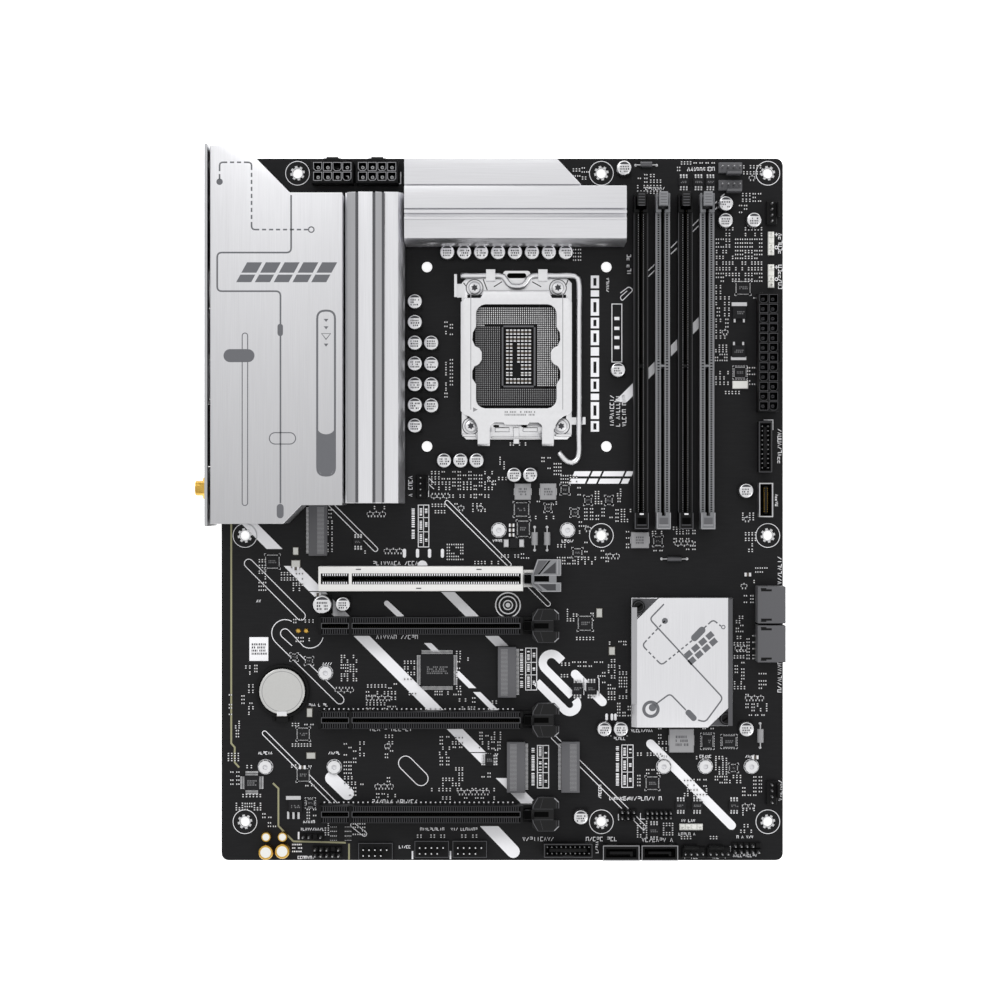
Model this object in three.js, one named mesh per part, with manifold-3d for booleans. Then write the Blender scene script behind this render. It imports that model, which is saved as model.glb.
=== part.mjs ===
// A full-size ATX computer motherboard, with its heatsinks, rear cover, sockets, slots and connectors.
// Units are millimetres. The origin is the centre of the board's underside, +X points away from the
// rear connectors, +Y points to the processor power connectors and +Z points up from the board.
import * as THREE from 'three';
import { mergeVertices } from 'three/addons/utils/BufferGeometryUtils.js';
import Module from 'manifold-3d';

// ---------------------------------------------------------------- driving dimensions

// The bare board, to the ATX standard.
const BOARD_WIDTH = 244;
const BOARD_LENGTH = 305;
const BOARD_THICKNESS = 1.6;
const CORNER_RADIUS = 3;
const SCREW_HOLE_RADIUS = 1.98;
const SCREW_HOLE_X = { rear: -111.84, rearTop: -88.98, middle: 43.1, front: 115.49 };
const SCREW_HOLE_Y = { top: 146.15, middle: -11.33, bottom: -135.79 };
const LAND = { screw: 4.6, cooler: 4.2, proud: 0.08 }; // bare metal rings under the board, round its holes
const SEAT = BOARD_THICKNESS + 0.05; // parts stand on the solder mask, not in it

// The processor socket. Its centre is also the centre of the square of cooler holes.
const SOCKET_X = 6.3;
const SOCKET_Y = 66.4;
const COOLER_PITCH = 78;
const COOLER_HOLE_RADIUS = 2.3;
const FIELD = { width: 28, length: 43, z: 3.9 };
const PLATE_Z = { low: 6.0, high: 7.3 };
const PLATE_HINGE = { y: 28.6, z: 3.3, radius: 1.3 };
const WIRE_RADIUS = 1.2;
const LEVER_AXIS = { y: 101.5, z: 4.7 };
const BACKPLATE = { width: 64, length: 80, thickness: 2.15, chamfer: 12, window: 27 };

// The rear connector area.
const SHIELD = { outer: -125.6, inner: -124.4, yLow: -7, yHigh: 154.4, zLow: -2.2, zHigh: 42.2 };
const PORT_FACE = -125.1;
const PORT_BACK = -104;
const PORT_GAP = 0.35;
const COVER = { left: -123.3, right: -67.5, top: 154, bottom: -6, roof: 41, wall: 1.4, skirt: 4.2 };

// Heatsinks over the power stages and over the chipset.
const LEFT_SINK = { yLow: 2.7, yHigh: 134.9, foot: 5.2 };
const TOP_SINK = { xLow: -41.7, xHigh: 52.9, foot: 5.2 };
const CHIPSET = { left: 55.8, right: 99.7, top: -38.1, bottom: -94, base: 4.0, earTop: 6.0, roof: 13 };
const PUSH_PINS = [[58.9, -41.9], [96.6, -90.3]];

// Memory slots.
const DIMM_X = [59.9, 69.35, 79.1, 88.5];
const DIMM_Y = 63.95;
const DIMM = { width: 6.2, half: 72.5, rail: 8.6, groove: 1.5, grooveFloor: 3, card: 66.7, keyY: -1.85 };
const DIMM_AXIS = { y: 69.5, z: 4, radius: 2 };

// Expansion card slots.
const PCIE_Y = [-29.9, -50.2, -90.9, -131.5];
const PCIE = { xLow: -79.3, xHigh: 9, height: 11.2, groove: 1.7, grooveFloor: 3.4, keyX: -65.5 };
const PCIE_WIDTH = { armoured: 10.7, plain: 7.5 };
const PCIE_AXIS = { x: 11.4, z: 3.6, radius: 1.6 };

// ---------------------------------------------------------------- materials

const material = (name, color, roughness, metalness) =>
  new THREE.MeshStandardMaterial({ name, color, roughness, metalness });

const BOARD_BLACK = material('board_black', 0x1c1c1e, 0.45, 0);
const BRUSHED = material('brushed_aluminium', 0xc9cacc, 0.32, 1);
const STEEL = material('bright_steel', 0xcfd0d2, 0.28, 1);
const TIN_SHIELD = material('shield_steel', 0xb9babc, 0.4, 1);
const BLACK_PLASTIC = material('black_plastic', 0x17181a, 0.5, 0);
const GREY_PLASTIC = material('grey_plastic', 0x6d6f72, 0.5, 0);
const DARK_GREY = material('dark_grey_plastic', 0x3c3d40, 0.5, 0);
const GOLD = material('gold_plate', 0xc9a227, 0.25, 1);
const CELL = material('cell_steel', 0xc4c5c2, 0.35, 1);
const SILICON = material('package_grey', 0x3a4048, 0.3, 0);

// ---------------------------------------------------------------- solids

const wasm = await Module();
wasm.setup();

const X_AXIS = new THREE.Vector3(1, 0, 0);
const Y_AXIS = new THREE.Vector3(0, 1, 0);
const Z_AXIS = new THREE.Vector3(0, 0, 1);

function solidOf(geometry) {
  const bare = geometry.clone();
  bare.deleteAttribute('normal');
  bare.deleteAttribute('uv');
  const merged = mergeVertices(bare, 1e-4);
  return new wasm.Manifold(new wasm.Mesh({
    numProp: 3,
    vertProperties: Float32Array.from(merged.attributes.position.array),
    triVerts: Uint32Array.from(merged.index.array),
  }));
}

function geometryOf(solid) {
  const { vertProperties, triVerts } = solid.getMesh();
  const geometry = new THREE.BufferGeometry();
  geometry.setAttribute('position', new THREE.BufferAttribute(vertProperties, 3));
  geometry.setIndex(new THREE.BufferAttribute(triVerts, 1));
  geometry.computeVertexNormals();
  return geometry;
}

const join = (first, ...rest) => rest.reduce((whole, piece) => whole.add(piece), first);
const cut = (first, ...rest) => rest.reduce((whole, piece) => whole.subtract(piece), first);

function box(x0, x1, y0, y1, z0, z1) {
  const geometry = new THREE.BoxGeometry(x1 - x0, y1 - y0, z1 - z0);
  geometry.translate((x0 + x1) / 2, (y0 + y1) / 2, (z0 + z1) / 2);
  return solidOf(geometry);
}

// A box given by its centre line, so that sizes and places read as drawn.
const block = (x, y, width, length, z0, z1) =>
  box(x - width / 2, x + width / 2, y - length / 2, y + length / 2, z0, z1);

const shapeOf = (outline) =>
  outline instanceof THREE.Shape
    ? outline
    : new THREE.Shape(outline.map(([x, y]) => new THREE.Vector2(x, y)));

function extruded(outline, depth) {
  return new THREE.ExtrudeGeometry(shapeOf(outline), { depth, bevelEnabled: false });
}

// An outline in X and Y, raised from z0 to z1.
function prism(outline, z0, z1) {
  const geometry = extruded(outline, z1 - z0);
  geometry.translate(0, 0, z0);
  return solidOf(geometry);
}

// A profile in Y and Z, drawn out from x0 to x1.
function alongX(profile, x0, x1) {
  const geometry = extruded(profile, x1 - x0);
  geometry.applyMatrix4(new THREE.Matrix4().makeBasis(Y_AXIS, Z_AXIS, X_AXIS));
  geometry.translate(x0, 0, 0);
  return solidOf(geometry);
}

// A profile in X and Z, drawn out from y0 to y1.
function alongY(profile, y0, y1) {
  const geometry = extruded(profile, y1 - y0);
  geometry.applyMatrix4(new THREE.Matrix4().makeBasis(X_AXIS, Z_AXIS, Y_AXIS.clone().negate()));
  geometry.translate(0, y1, 0);
  return solidOf(geometry);
}

// An upright round bar.
function post(x, y, radius, z0, z1, sides = 16) {
  const geometry = new THREE.CylinderGeometry(radius, radius, z1 - z0, sides);
  geometry.rotateX(Math.PI / 2);
  geometry.translate(x, y, (z0 + z1) / 2);
  return solidOf(geometry);
}

// A round bar that lies along X.
function barX(x0, x1, y, z, radius, sides = 16) {
  const geometry = new THREE.CylinderGeometry(radius, radius, x1 - x0, sides);
  geometry.rotateZ(Math.PI / 2);
  geometry.translate((x0 + x1) / 2, y, z);
  return solidOf(geometry);
}

// A solid of revolution about an upright axis.
function turned(profile, sides = 24) {
  const geometry = new THREE.LatheGeometry(profile.map(([r, z]) => new THREE.Vector2(r, z)), sides);
  geometry.rotateX(Math.PI / 2);
  return solidOf(geometry);
}

// Points on an arc, from one angle to another, in degrees.
function arc(x, y, radius, from, to, steps) {
  return Array.from({ length: steps + 1 }, (_, i) => {
    const angle = THREE.MathUtils.degToRad(from + ((to - from) * i) / steps);
    return [x + radius * Math.cos(angle), y + radius * Math.sin(angle)];
  });
}

const roundedRectangle = (x0, x1, y0, y1, radius, steps = 4) => [
  ...arc(x1 - radius, y1 - radius, radius, 0, 90, steps),
  ...arc(x0 + radius, y1 - radius, radius, 90, 180, steps),
  ...arc(x0 + radius, y0 + radius, radius, 180, 270, steps),
  ...arc(x1 - radius, y0 + radius, radius, 270, 360, steps),
];

const chamferedRectangle = (x0, x1, y0, y1, chamfer) => [
  [x1, y1 - chamfer], [x1 - chamfer, y1], [x0 + chamfer, y1], [x0, y1 - chamfer],
  [x0, y0 + chamfer], [x0 + chamfer, y0], [x1 - chamfer, y0], [x1, y0 + chamfer],
];

// ---------------------------------------------------------------- the assembly

const motherboard = new THREE.Group();
motherboard.name = 'motherboard';

function addPart(name, solid, look, x = 0, y = 0, z = 0) {
  const mesh = new THREE.Mesh(geometryOf(solid), look.clone());
  mesh.name = name;
  mesh.position.set(x, y, z);
  motherboard.add(mesh);
}

// ---------------------------------------------------------------- the board

function screwHoles() {
  const { rear, rearTop, middle, front } = SCREW_HOLE_X;
  const { top, middle: centre, bottom } = SCREW_HOLE_Y;
  return [
    [rearTop, top], [middle, top], [front, top],
    [rear, centre], [middle, centre], [front, centre],
    [rear, bottom], [middle, bottom], [front, bottom],
  ];
}

function coolerHoles() {
  const half = COOLER_PITCH / 2;
  return [-half, half].flatMap((dx) => [-half, half].map((dy) => [SOCKET_X + dx, SOCKET_Y + dy]));
}

function circuitBoard() {
  const w = BOARD_WIDTH / 2;
  const l = BOARD_LENGTH / 2;
  const sheet = prism(roundedRectangle(-w, w, -l, l, CORNER_RADIUS), 0, BOARD_THICKNESS);
  const low = -1;
  const high = BOARD_THICKNESS + 1;
  const lands = [
    ...screwHoles().map(([x, y]) => post(x, y, LAND.screw, -LAND.proud, 1)),
    ...coolerHoles().map(([x, y]) => post(x, y, LAND.cooler, -LAND.proud, 1)),
  ];
  return cut(
    join(sheet, ...lands),
    ...screwHoles().map(([x, y]) => post(x, y, SCREW_HOLE_RADIUS, low, high)),
    ...coolerHoles().map(([x, y]) => post(x, y, COOLER_HOLE_RADIUS, low, high)),
    ...PUSH_PINS.map(([x, y]) => post(x, y, 1.6, low, high, 12)),
  );
}

addPart('circuit_board', circuitBoard(), BOARD_BLACK);

// ---------------------------------------------------------------- rear connectors

// A metal-cased connector block with its mouths in its rear face. Each mouth is a rectangle of
// width w and height h centred at (dy, z), with a contact tongue inside it.
function portBlock(width, height, mouths) {
  const body = box(PORT_FACE, PORT_BACK, -width / 2, width / 2, 0, height);
  return mouths.reduce((whole, { dy = 0, z, w, h, depth = 9, tongue = 0 }) => {
    const mouth = box(PORT_FACE - 1, PORT_FACE + depth, dy - w / 2, dy + w / 2, z - h / 2, z + h / 2);
    if (!tongue) return cut(whole, mouth);
    const lip = box(
      PORT_FACE + 1, PORT_FACE + depth + 0.5,
      dy - w / 2 + 1.2, dy + w / 2 - 1.2, z + h / 2 - 0.7 - tongue, z + h / 2 - 0.7,
    );
    return join(cut(whole, mouth), lip);
  }, body);
}

const usbA = (z) => ({ z, w: 12.6, h: 5.2, tongue: 1.9 });

const PORTS = [
  { name: 'display_port_block', y: 113.5, width: 19, height: 25.5, look: BLACK_PLASTIC,
    mouths: [{ z: 18.2, w: 16.2, h: 5, tongue: 1.4 }, { z: 6.2, w: 14.4, h: 4.8, tongue: 1.4 }] },
  { name: 'usb_port_block_1', y: 93.2, width: 15, height: 31.6, look: TIN_SHIELD,
    mouths: [usbA(4.2), usbA(11.8), usbA(19.4), usbA(27)] },
  { name: 'usb_port_block_2', y: 74.6, width: 15, height: 24, look: TIN_SHIELD,
    mouths: [usbA(4.2), usbA(11.8), { z: 19.6, w: 9, h: 3.4, tongue: 0.8 }] },
  { name: 'network_port_block', y: 55.4, width: 16.4, height: 30, look: TIN_SHIELD,
    mouths: [usbA(4.2), usbA(11.8), { z: 22.6, w: 11.8, h: 8.4, depth: 12 }] },
  { name: 'audio_jack_block', y: 31.5, width: 26, height: 35, look: BLACK_PLASTIC, mouths: [] },
];

const AUDIO = { columns: [-6.4, 6.4], rows: [5.8, 17.4, 29], radius: 1.85, depth: 13 };

function audioHoles() {
  const { columns, rows, radius, depth } = AUDIO;
  const hole = (y, z) => barX(PORT_FACE - 1, PORT_FACE + depth, y, z, radius, 12);
  return columns.flatMap((y) => rows.map((z) => hole(y, z)));
}

for (const { name, y, width, height, look, mouths } of PORTS) {
  const body = portBlock(width, height, mouths);
  const solid = name === 'audio_jack_block' ? cut(body, ...audioHoles()) : body;
  addPart(name, solid, look, 0, y, SEAT);
}

const JACK = { y: 9.1, z: [13.5, 28.5], radius: 3.1, tip: -130.7, root: -123.9, bore: 2.2, pin: 0.55 };

function antennaJack() {
  const barrel = barX(JACK.tip, JACK.root, 0, 0, JACK.radius, 20);
  const bore = barX(JACK.tip - 1, JACK.tip + 4.6, 0, 0, JACK.bore, 16);
  const pin = barX(JACK.tip + 0.6, JACK.tip + 5, 0, 0, JACK.pin, 8);
  return join(cut(barrel, bore), pin);
}

JACK.z.forEach((z, i) => addPart(`antenna_jack_${i + 1}`, antennaJack(), GOLD, 0, JACK.y, z));

const WIRELESS = { xLow: -123.8, xHigh: -102, yLow: 2, yHigh: 16.2, top: 35 };

function wirelessModule() {
  const { xLow, xHigh, yLow, yHigh, top } = WIRELESS;
  return box(xLow, xHigh, yLow, yHigh, SEAT, top);
}

addPart('wireless_module', wirelessModule(), TIN_SHIELD);

const BUTTON = { y: [131.5, 142.5], z: 9, radius: 2.4, tip: -126.5, root: -121.2, travel: 0.8 };
const BUTTON_NAMES = ['flash_button', 'clear_settings_button'];
const SWITCH = { face: BUTTON.root + BUTTON.travel + 0.2, back: -113, y: 137, width: 19, top: 13 };

function pressButton() {
  return barX(BUTTON.tip, BUTTON.root, 0, 0, BUTTON.radius, 16);
}

function switchBlock() {
  const { face, back, y, width, top } = SWITCH;
  return box(face, back, y - width / 2, y + width / 2, SEAT, top);
}

BUTTON.y.forEach((y, i) => addPart(BUTTON_NAMES[i], pressButton(), BLACK_PLASTIC, 0, y, BUTTON.z));
addPart('button_switch_block', switchBlock(), DARK_GREY);

function ioShield() {
  const { outer, inner } = SHIELD;
  const sheet = box(outer, inner, SHIELD.yLow, SHIELD.yHigh, SHIELD.zLow, SHIELD.zHigh);
  const through = [outer - 1, inner + 1];
  const windows = PORTS.map(({ y, width, height }) => {
    const reach = width / 2 + PORT_GAP;
    return box(...through, y - reach, y + reach, SEAT - PORT_GAP, SEAT + height + PORT_GAP);
  });
  const jackHoles = JACK.z.map((z) => barX(...through, JACK.y, z, JACK.radius + PORT_GAP, 20));
  const buttonHoles = BUTTON.y.map((y) => barX(...through, y, BUTTON.z, BUTTON.radius + PORT_GAP, 16));
  return cut(sheet, ...windows, ...jackHoles, ...buttonHoles);
}

addPart('io_shield', ioShield(), STEEL);

// The cover over the rear connectors: a roof and skirts, open below and on the connector side.
function ioCover() {
  const { left, right, top, bottom, roof, wall, skirt } = COVER;
  const outline = [
    [left, bottom], [-92.4, bottom], [-84.7, 1.9], [right, 1.9],
    [right, 133.9], [-89.7, 133.9], [-109.5, top], [left, top],
  ];
  const inside = [
    [left - 1, bottom + wall], [-93, bottom + wall], [-85.3, 1.9 + wall], [right - wall, 1.9 + wall],
    [right - wall, 133.9 - wall], [-90.3, 133.9 - wall], [-110.1, top - wall], [left - 1, top - wall],
  ];
  return cut(prism(outline, skirt, roof), prism(inside, skirt - 1, roof - 1.6));
}

addPart('io_cover', ioCover(), BRUSHED);

// ---------------------------------------------------------------- heatsinks

// Ribs that run along the board, with narrow grooves between the bands.
function leftSink() {
  const profile = [
    [-66.9, LEFT_SINK.foot], [-42.1, LEFT_SINK.foot], [-42.1, 29], [-44.2, 33.4], [-50.3, 33.8],
    [-50.3, 31.6], [-51.1, 31.6], [-51.1, 33], [-53.9, 34.4], [-53.9, 31], [-54.9, 31], [-54.9, 34.6],
    [-61.2, 34.6], [-61.2, 31], [-62.2, 31], [-62.2, 33.8], [-66.0, 32.2], [-66.0, 29], [-66.9, 29],
  ];
  return alongY(profile, LEFT_SINK.yLow, LEFT_SINK.yHigh);
}

function topSink() {
  const profile = [
    [149.1, 8], [149.1, 31.4], [138.3, 31.4], [138.3, 29.4], [137.6, 29.4], [137.6, 32.2],
    [128, 33.2], [128, 30.4], [127.1, 30.4], [127.1, 34], [125.8, 34], [125.8, 30.4], [124.1, 30.4],
    [124.1, 34], [123.2, 34], [123.2, 33], [115.4, 32.2], [113.8, 29], [113.8, TOP_SINK.foot],
    [136, TOP_SINK.foot], [136, 8],
  ];
  const corner = [[23.4, 150], [23.4, 149.1], [33.8, 138], [54, 138], [54, 150]];
  return cut(alongX(profile.reverse(), TOP_SINK.xLow, TOP_SINK.xHigh), prism(corner, 0, 40));
}

addPart('vrm_heatsink_left', leftSink(), BRUSHED);
addPart('vrm_heatsink_top', topSink(), BRUSHED);

function chipsetSink() {
  const { left, right, top, bottom, base, earTop, roof } = CHIPSET;
  const slab = [
    [left, earTop], [right, earTop], [right, 9.2], [97.4, roof], [58.1, roof], [left, 10.4],
  ];
  const outline = [
    [left, bottom], [88.7, bottom], [right, -83.4], [right, top], [67.6, top], [left, -49.8],
  ];
  const upper = alongY(slab, bottom, top).intersect(prism(outline, base, roof + 1));
  const foot = box(left + 0.2, right - 0.2, bottom + 0.2, top - 0.2, base, earTop);
  return cut(join(upper, foot), ...PUSH_PINS.map(([x, y]) => post(x, y, 1.75, base - 1, earTop + 1, 12)));
}

addPart('chipset_heatsink', chipsetSink(), BRUSHED);
addPart('chipset_package', block(77.7, -66, 27, 27, SEAT, CHIPSET.base - 0.3), SILICON);

function pushPin() {
  const head = post(0, 0, 2.75, CHIPSET.earTop + 0.1, CHIPSET.roof - 1.2, 20);
  const shaft = post(0, 0, 1.35, -1.2, CHIPSET.earTop + 1, 12);
  return join(head, shaft);
}

PUSH_PINS.forEach(([x, y], i) => addPart(`chipset_push_pin_${i + 1}`, pushPin(), BLACK_PLASTIC, x, y));

// ---------------------------------------------------------------- memory slots

function dimmSlot() {
  const { width, half, rail, groove, grooveFloor, card, keyY } = DIMM;
  const w = width / 2;
  const g = groove / 2;
  const rails = box(-w, w, -half, half, 0, rail);
  const fixedEnd = box(-w, w, -half, -65.2, 0, 16.6);
  const latchEnd = box(-w, w, 64.2, half, 0, 11.4);
  const pocket = box(-2.2, 2.2, 65.5, half + 1, 1.2, 20);
  const longGroove = box(-g, g, -card, keyY - 0.9, grooveFloor, 20);
  const shortGroove = box(-g, g, keyY + 0.9, card, grooveFloor, 20);
  return cut(join(rails, fixedEnd, latchEnd), pocket, longGroove, shortGroove);
}

// The hinged latch: a round foot on the hinge axis, an ejector toe, a hook and a finger pad.
function dimmLatch() {
  const { y, z, radius } = DIMM_AXIS;
  const profile = [
    ...arc(y, z, radius, 205, 360, 7),
    [y + 1.9, 12], [y + 3.2, 14.6], [y + 3.2, 17], [y - 3, 17], [y - 3, 15.8], [y - 1.6, 13.4],
    [y - 2.6, 12.4], [y - 2.6, 10.6], [y - 1.6, 9.8], [y - 1.7, 5.4], [y - 3.2, 3.6], [y - 3.2, 2.7],
  ];
  return alongX(profile, -1.9, 1.9);
}

DIMM_X.forEach((x, i) => {
  const shade = i % 2 ? GREY_PLASTIC : BLACK_PLASTIC;
  addPart(`dimm_slot_${i + 1}`, dimmSlot(), shade, x, DIMM_Y, SEAT);
  addPart(`dimm_latch_${i + 1}`, dimmLatch(), shade, x, DIMM_Y, SEAT);
});

// ---------------------------------------------------------------- expansion slots

function pcieSlot(width) {
  const { xLow, xHigh, height, groove, grooveFloor, keyX } = PCIE;
  const w = width / 2;
  const g = groove / 2;
  const body = box(xLow, xHigh, -w, w, 0, height);
  const bracket = box(xHigh - 1, 14.4, -3.7, 3.7, 0, 6.6);
  const pocket = box(xHigh + 0.6, 15, -2.3, 2.3, 1.2, 20);
  const shortGroove = box(xLow + 1.6, keyX - 0.9, -g, g, grooveFloor, 20);
  const longGroove = box(keyX + 0.9, xHigh - 1.4, -g, g, grooveFloor, 20);
  return cut(join(body, bracket), pocket, shortGroove, longGroove);
}

// The card latch: a neck that turns on its pivot, with a hook above and a finger plate outboard.
function pcieLatch(finger) {
  const { x, z, radius } = PCIE_AXIS;
  const profile = [
    ...arc(x, z, radius, 180, 360, 7),
    [x + radius, 8.2], [13.8, 8.2], [13.8, 11.4], [12.6, 12.8], [9.4, 12.8],
    [9.4, 11.9], [x - radius, 11.2],
  ];
  return join(alongY(profile, -2, 2), prism(finger, 8.2, 10.8));
}

const plainFinger = [
  [12.9, 5.4], [12.9, -5.4], [15.4, -7.4], [22.6, -7.4], [24.7, -5.2], [24.7, -2.4],
  [22.2, -2.4], [22.2, 2.4], [24.7, 2.4], [24.7, 5.2], [22.6, 7.4], [15.4, 7.4],
];
const armouredFinger = [
  [12.9, 1.8], [12.9, -3.4], [17, -5.6], [25.4, -5.6], [25.4, -1.6],
  [23.4, -1.6], [23.4, 1.4], [25.4, 1.4], [25.4, 8.4], [15.2, 8.4],
];

PCIE_Y.forEach((y, i) => {
  const armoured = i === 0;
  const width = armoured ? PCIE_WIDTH.armoured : PCIE_WIDTH.plain;
  addPart(`pcie_slot_${i + 1}`, pcieSlot(width), armoured ? STEEL : BLACK_PLASTIC, 0, y, SEAT);
  addPart(
    `pcie_latch_${i + 1}`, pcieLatch(armoured ? armouredFinger : plainFinger),
    armoured ? GREY_PLASTIC : BLACK_PLASTIC, 0, y, SEAT,
  );
});

// ---------------------------------------------------------------- the processor socket

const SOCKET_SCREWS = [[-12, 96.2], [24.2, 96.2], [-13.6, 36.2], [25.6, 36.2]];

// The insulator that holds the contacts: a shallow tray with a raised contact field.
function cpuSocket() {
  const walls = block(SOCKET_X, SOCKET_Y, 42.2, 53, SEAT, 5.5);
  const tray = block(SOCKET_X, SOCKET_Y, 38, 46, 3.2, 8);
  const field = block(SOCKET_X, SOCKET_Y, FIELD.width, FIELD.length, 3, FIELD.z);
  const well = block(SOCKET_X + 0.8, SOCKET_Y, 12.6, 25, 2.6, 8);
  return cut(join(cut(walls, tray), field), well);
}

// The pressed steel frame under the load plate, with its lever lugs, ear and lever hook.
function socketFrame() {
  const high = SEAT + 1.2;
  const sheet = prism(chamferedRectangle(-17.6, 30.2, 30.4, 100.3, 2), SEAT, high);
  const opening = block(SOCKET_X, SOCKET_Y, 42.8, 53.6, 0, 10);
  const lugs = [-5, 17.6].map((x) => box(x - 2, x + 2, 99, 104, SEAT, 7));
  const bore = barX(-12, 24, LEVER_AXIS.y, LEVER_AXIS.z, WIRE_RADIUS + 0.35, 16);
  const ear = join(box(-20.8, -17, 92, 98, SEAT, high), box(-20.8, -19.6, 92, 101.9, SEAT, 7));
  const hook = join(box(29, 36.1, 36.8, 40, SEAT, high), box(34.9, 36.1, 36.8, 40, SEAT, 6.8));
  const screws = SOCKET_SCREWS.map(([x, y]) => post(x, y, 1.6, 0, 4, 12));
  return join(cut(join(cut(sheet, opening), ...lugs), bore, ...screws), ear, hook);
}

// The left side of the load plate's window, from its top to its foot, with two bays round a tongue.
const WINDOW_SIDE = [
  [-7.4, 88.8], [-9, 88.4], [-10.4, 87.3], [-11.1, 86], [-11.3, 84.4], [-11.3, 79], [-12.7, 76.6],
  [-12.9, 73.4], [-11.8, 70.8], [-9.8, 69.8], [-8.8, 68], [-8.8, 64.8], [-10, 63], [-12, 61.9],
  [-12.9, 60], [-12.9, 56.8], [-11.3, 54.2], [-11.3, 48.2], [-11.1, 46.6], [-10.4, 45.3], [-9, 44.2],
  [-7.4, 43.8],
];
const PLATE_MIDDLE_X = 6.1;

const mirrored = (side) =>
  [...side, ...[...side].reverse().map(([x, y]) => [2 * PLATE_MIDDLE_X - x, y])];

// The left half of the load plate's edge, from the top to the hinge side.
const PLATE_SIDE = [
  [-7.9, 94.4], [-9.4, 91.6], [-16.2, 91.6], [-18, 89.8], [-18, 42.6], [-16.9, 41.2], [-14.4, 40.3],
  [-12.2, 38.6], [-11, 36.6], [-10.7, 35], [-5.3, 35], [-4.8, 36.6], [-3.4, 37.6], [0.4, 37.6],
  [1.2, 36.6], [2.4, 36.6],
];

// The hinged plate that presses the processor down, with its window and hinge arms.
function loadPlate() {
  const { low, high } = PLATE_Z;
  const sheet = cut(prism(mirrored(PLATE_SIDE), low, high), prism(mirrored(WINDOW_SIDE), low - 1, high + 1));
  const { y, z, radius } = PLATE_HINGE;
  const back = y - 0.3; // short behind its axis, so that the open plate clears the board
  const arms = [[-10.7, -5.3], [17.2, 22.4]].map(([x0, x1]) =>
    join(
      box(x0, x1, back, 36, low, high),
      box(x0, x1, back, y + 1, z, high),
      barX(x0, x1, y, z, radius, 12),
    ));
  return join(sheet, ...arms);
}

// The wire lever: it turns in the frame's lugs, and its arm ends in a hooked finger grip.
function loadLever() {
  const { y, z } = LEVER_AXIS;
  const armX = 33.3;
  const route = [
    [-18, y], [-12, y], [-6, y], [-1, y], [0.6, y - 0.5], [2.4, y - 3.4], [4, y - 4.6], [6.3, y - 4.8],
    [8.6, y - 4.6], [10.2, y - 3.4], [12, y - 0.5], [13.6, y], [18, y], [24, y], [30, y],
    [32.6, y - 0.8], [armX, y - 3.4], [armX, 85], [armX, 65], [armX, 45], [armX, 30], [armX, 25],
    [32.6, 21.9], [30.6, 20.4], [28.4, 20.6], [26.4, 22.4], [24.6, 24.8],
  ];
  const points = route.map(([x, along]) => new THREE.Vector3(x, along, z));
  const extrudePath = new THREE.CatmullRomCurve3(points, false, 'centripetal');
  const section = shapeOf(arc(0, 0, WIRE_RADIUS, 0, 315, 7));
  return solidOf(new THREE.ExtrudeGeometry(section, { steps: 78, extrudePath, bevelEnabled: false }));
}

// The stiffening plate under the board.
function socketBackplate() {
  const { width, length, thickness, chamfer, window } = BACKPLATE;
  const outline = chamferedRectangle(-width / 2, width / 2, -length / 2, length / 2, chamfer);
  return cut(prism(outline, -thickness - 0.05, -0.05), block(0, 0, window, window, -5, 5));
}

addPart('cpu_socket', cpuSocket(), BLACK_PLASTIC);
addPart('socket_frame', socketFrame(), STEEL);
addPart('load_plate', loadPlate(), STEEL);
addPart('load_lever', loadLever(), STEEL);
addPart('socket_backplate', socketBackplate(), STEEL, SOCKET_X, SOCKET_Y);

// ---------------------------------------------------------------- the battery

const BATTERY = { x: -95.4, y: -78.9, radius: 10, thickness: 3.2, ring: 11.6 };

function batteryHolder() {
  const { radius, ring } = BATTERY;
  const inside = radius + 0.4;
  const cup = turned([[0, 0], [ring, 0], [ring, 2.6], [inside, 2.6], [inside, 0.9], [0, 0.9]], 28);
  return join(cup, box(-2.6, 2.6, -13.4, -11, 0, 3.4));
}

function cell() {
  const { radius, thickness } = BATTERY;
  const base = 1.2;
  return turned([
    [0, base], [radius - 1.3, base], [radius - 1, base + 0.5], [radius, base + 0.5],
    [radius, base + thickness - 0.3], [radius - 0.3, base + thickness], [0, base + thickness],
  ], 32);
}

addPart('battery_holder', batteryHolder(), BLACK_PLASTIC, BATTERY.x, BATTERY.y, SEAT);
addPart('battery', cell(), CELL, BATTERY.x, BATTERY.y, SEAT);

// ---------------------------------------------------------------- power connectors

const POWER = { pitch: 4.2, cell: 3.4, height: 12.8, floor: 3, wall: 1 };

// A socket with two rows of square cells, its long side along X, and a latch rib on its +Y side.
function powerSocket(columns, length, depth) {
  const { pitch, cell: side, height, floor } = POWER;
  const body = block(0, 0, length, depth, 0, height);
  const rib = box(-2.6, 2.6, depth / 2 - 0.5, depth / 2 + 1.3, 5, height - 1.4);
  const places = Array.from({ length: columns }, (_, i) => (i - (columns - 1) / 2) * pitch);
  const cells = places.flatMap((x) =>
    [-pitch / 2, pitch / 2].map((y) => block(x, y, side, side, floor, height + 1)));
  return cut(join(body, rib), ...cells);
}

[-73.2, -53.9].forEach((x, i) =>
  addPart(`cpu_power_socket_${i + 1}`, powerSocket(4, 18.2, 10.2), BLACK_PLASTIC, x, 145.6, SEAT));
addPart('atx_power_socket', powerSocket(12, 51, 8.9).rotate([0, 0, -90]), BLACK_PLASTIC, 114.75, 67.7, SEAT);

// ---------------------------------------------------------------- drive connectors

// Two stacked ports that open over the board's front edge, each with a contact blade.
function sataSide() {
  const body = box(-6, 6, -7.95, 7.95, 0, 14.6);
  const ports = [4, 10.6].map((z) => box(0, 7, -6.6, 6.6, z - 1.9, z + 1.9));
  const blades = [4, 10.6].map((z) => box(-1, 5.4, -5, 5, z - 0.6, z + 0.6));
  return join(cut(body, ...ports), ...blades);
}

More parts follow.
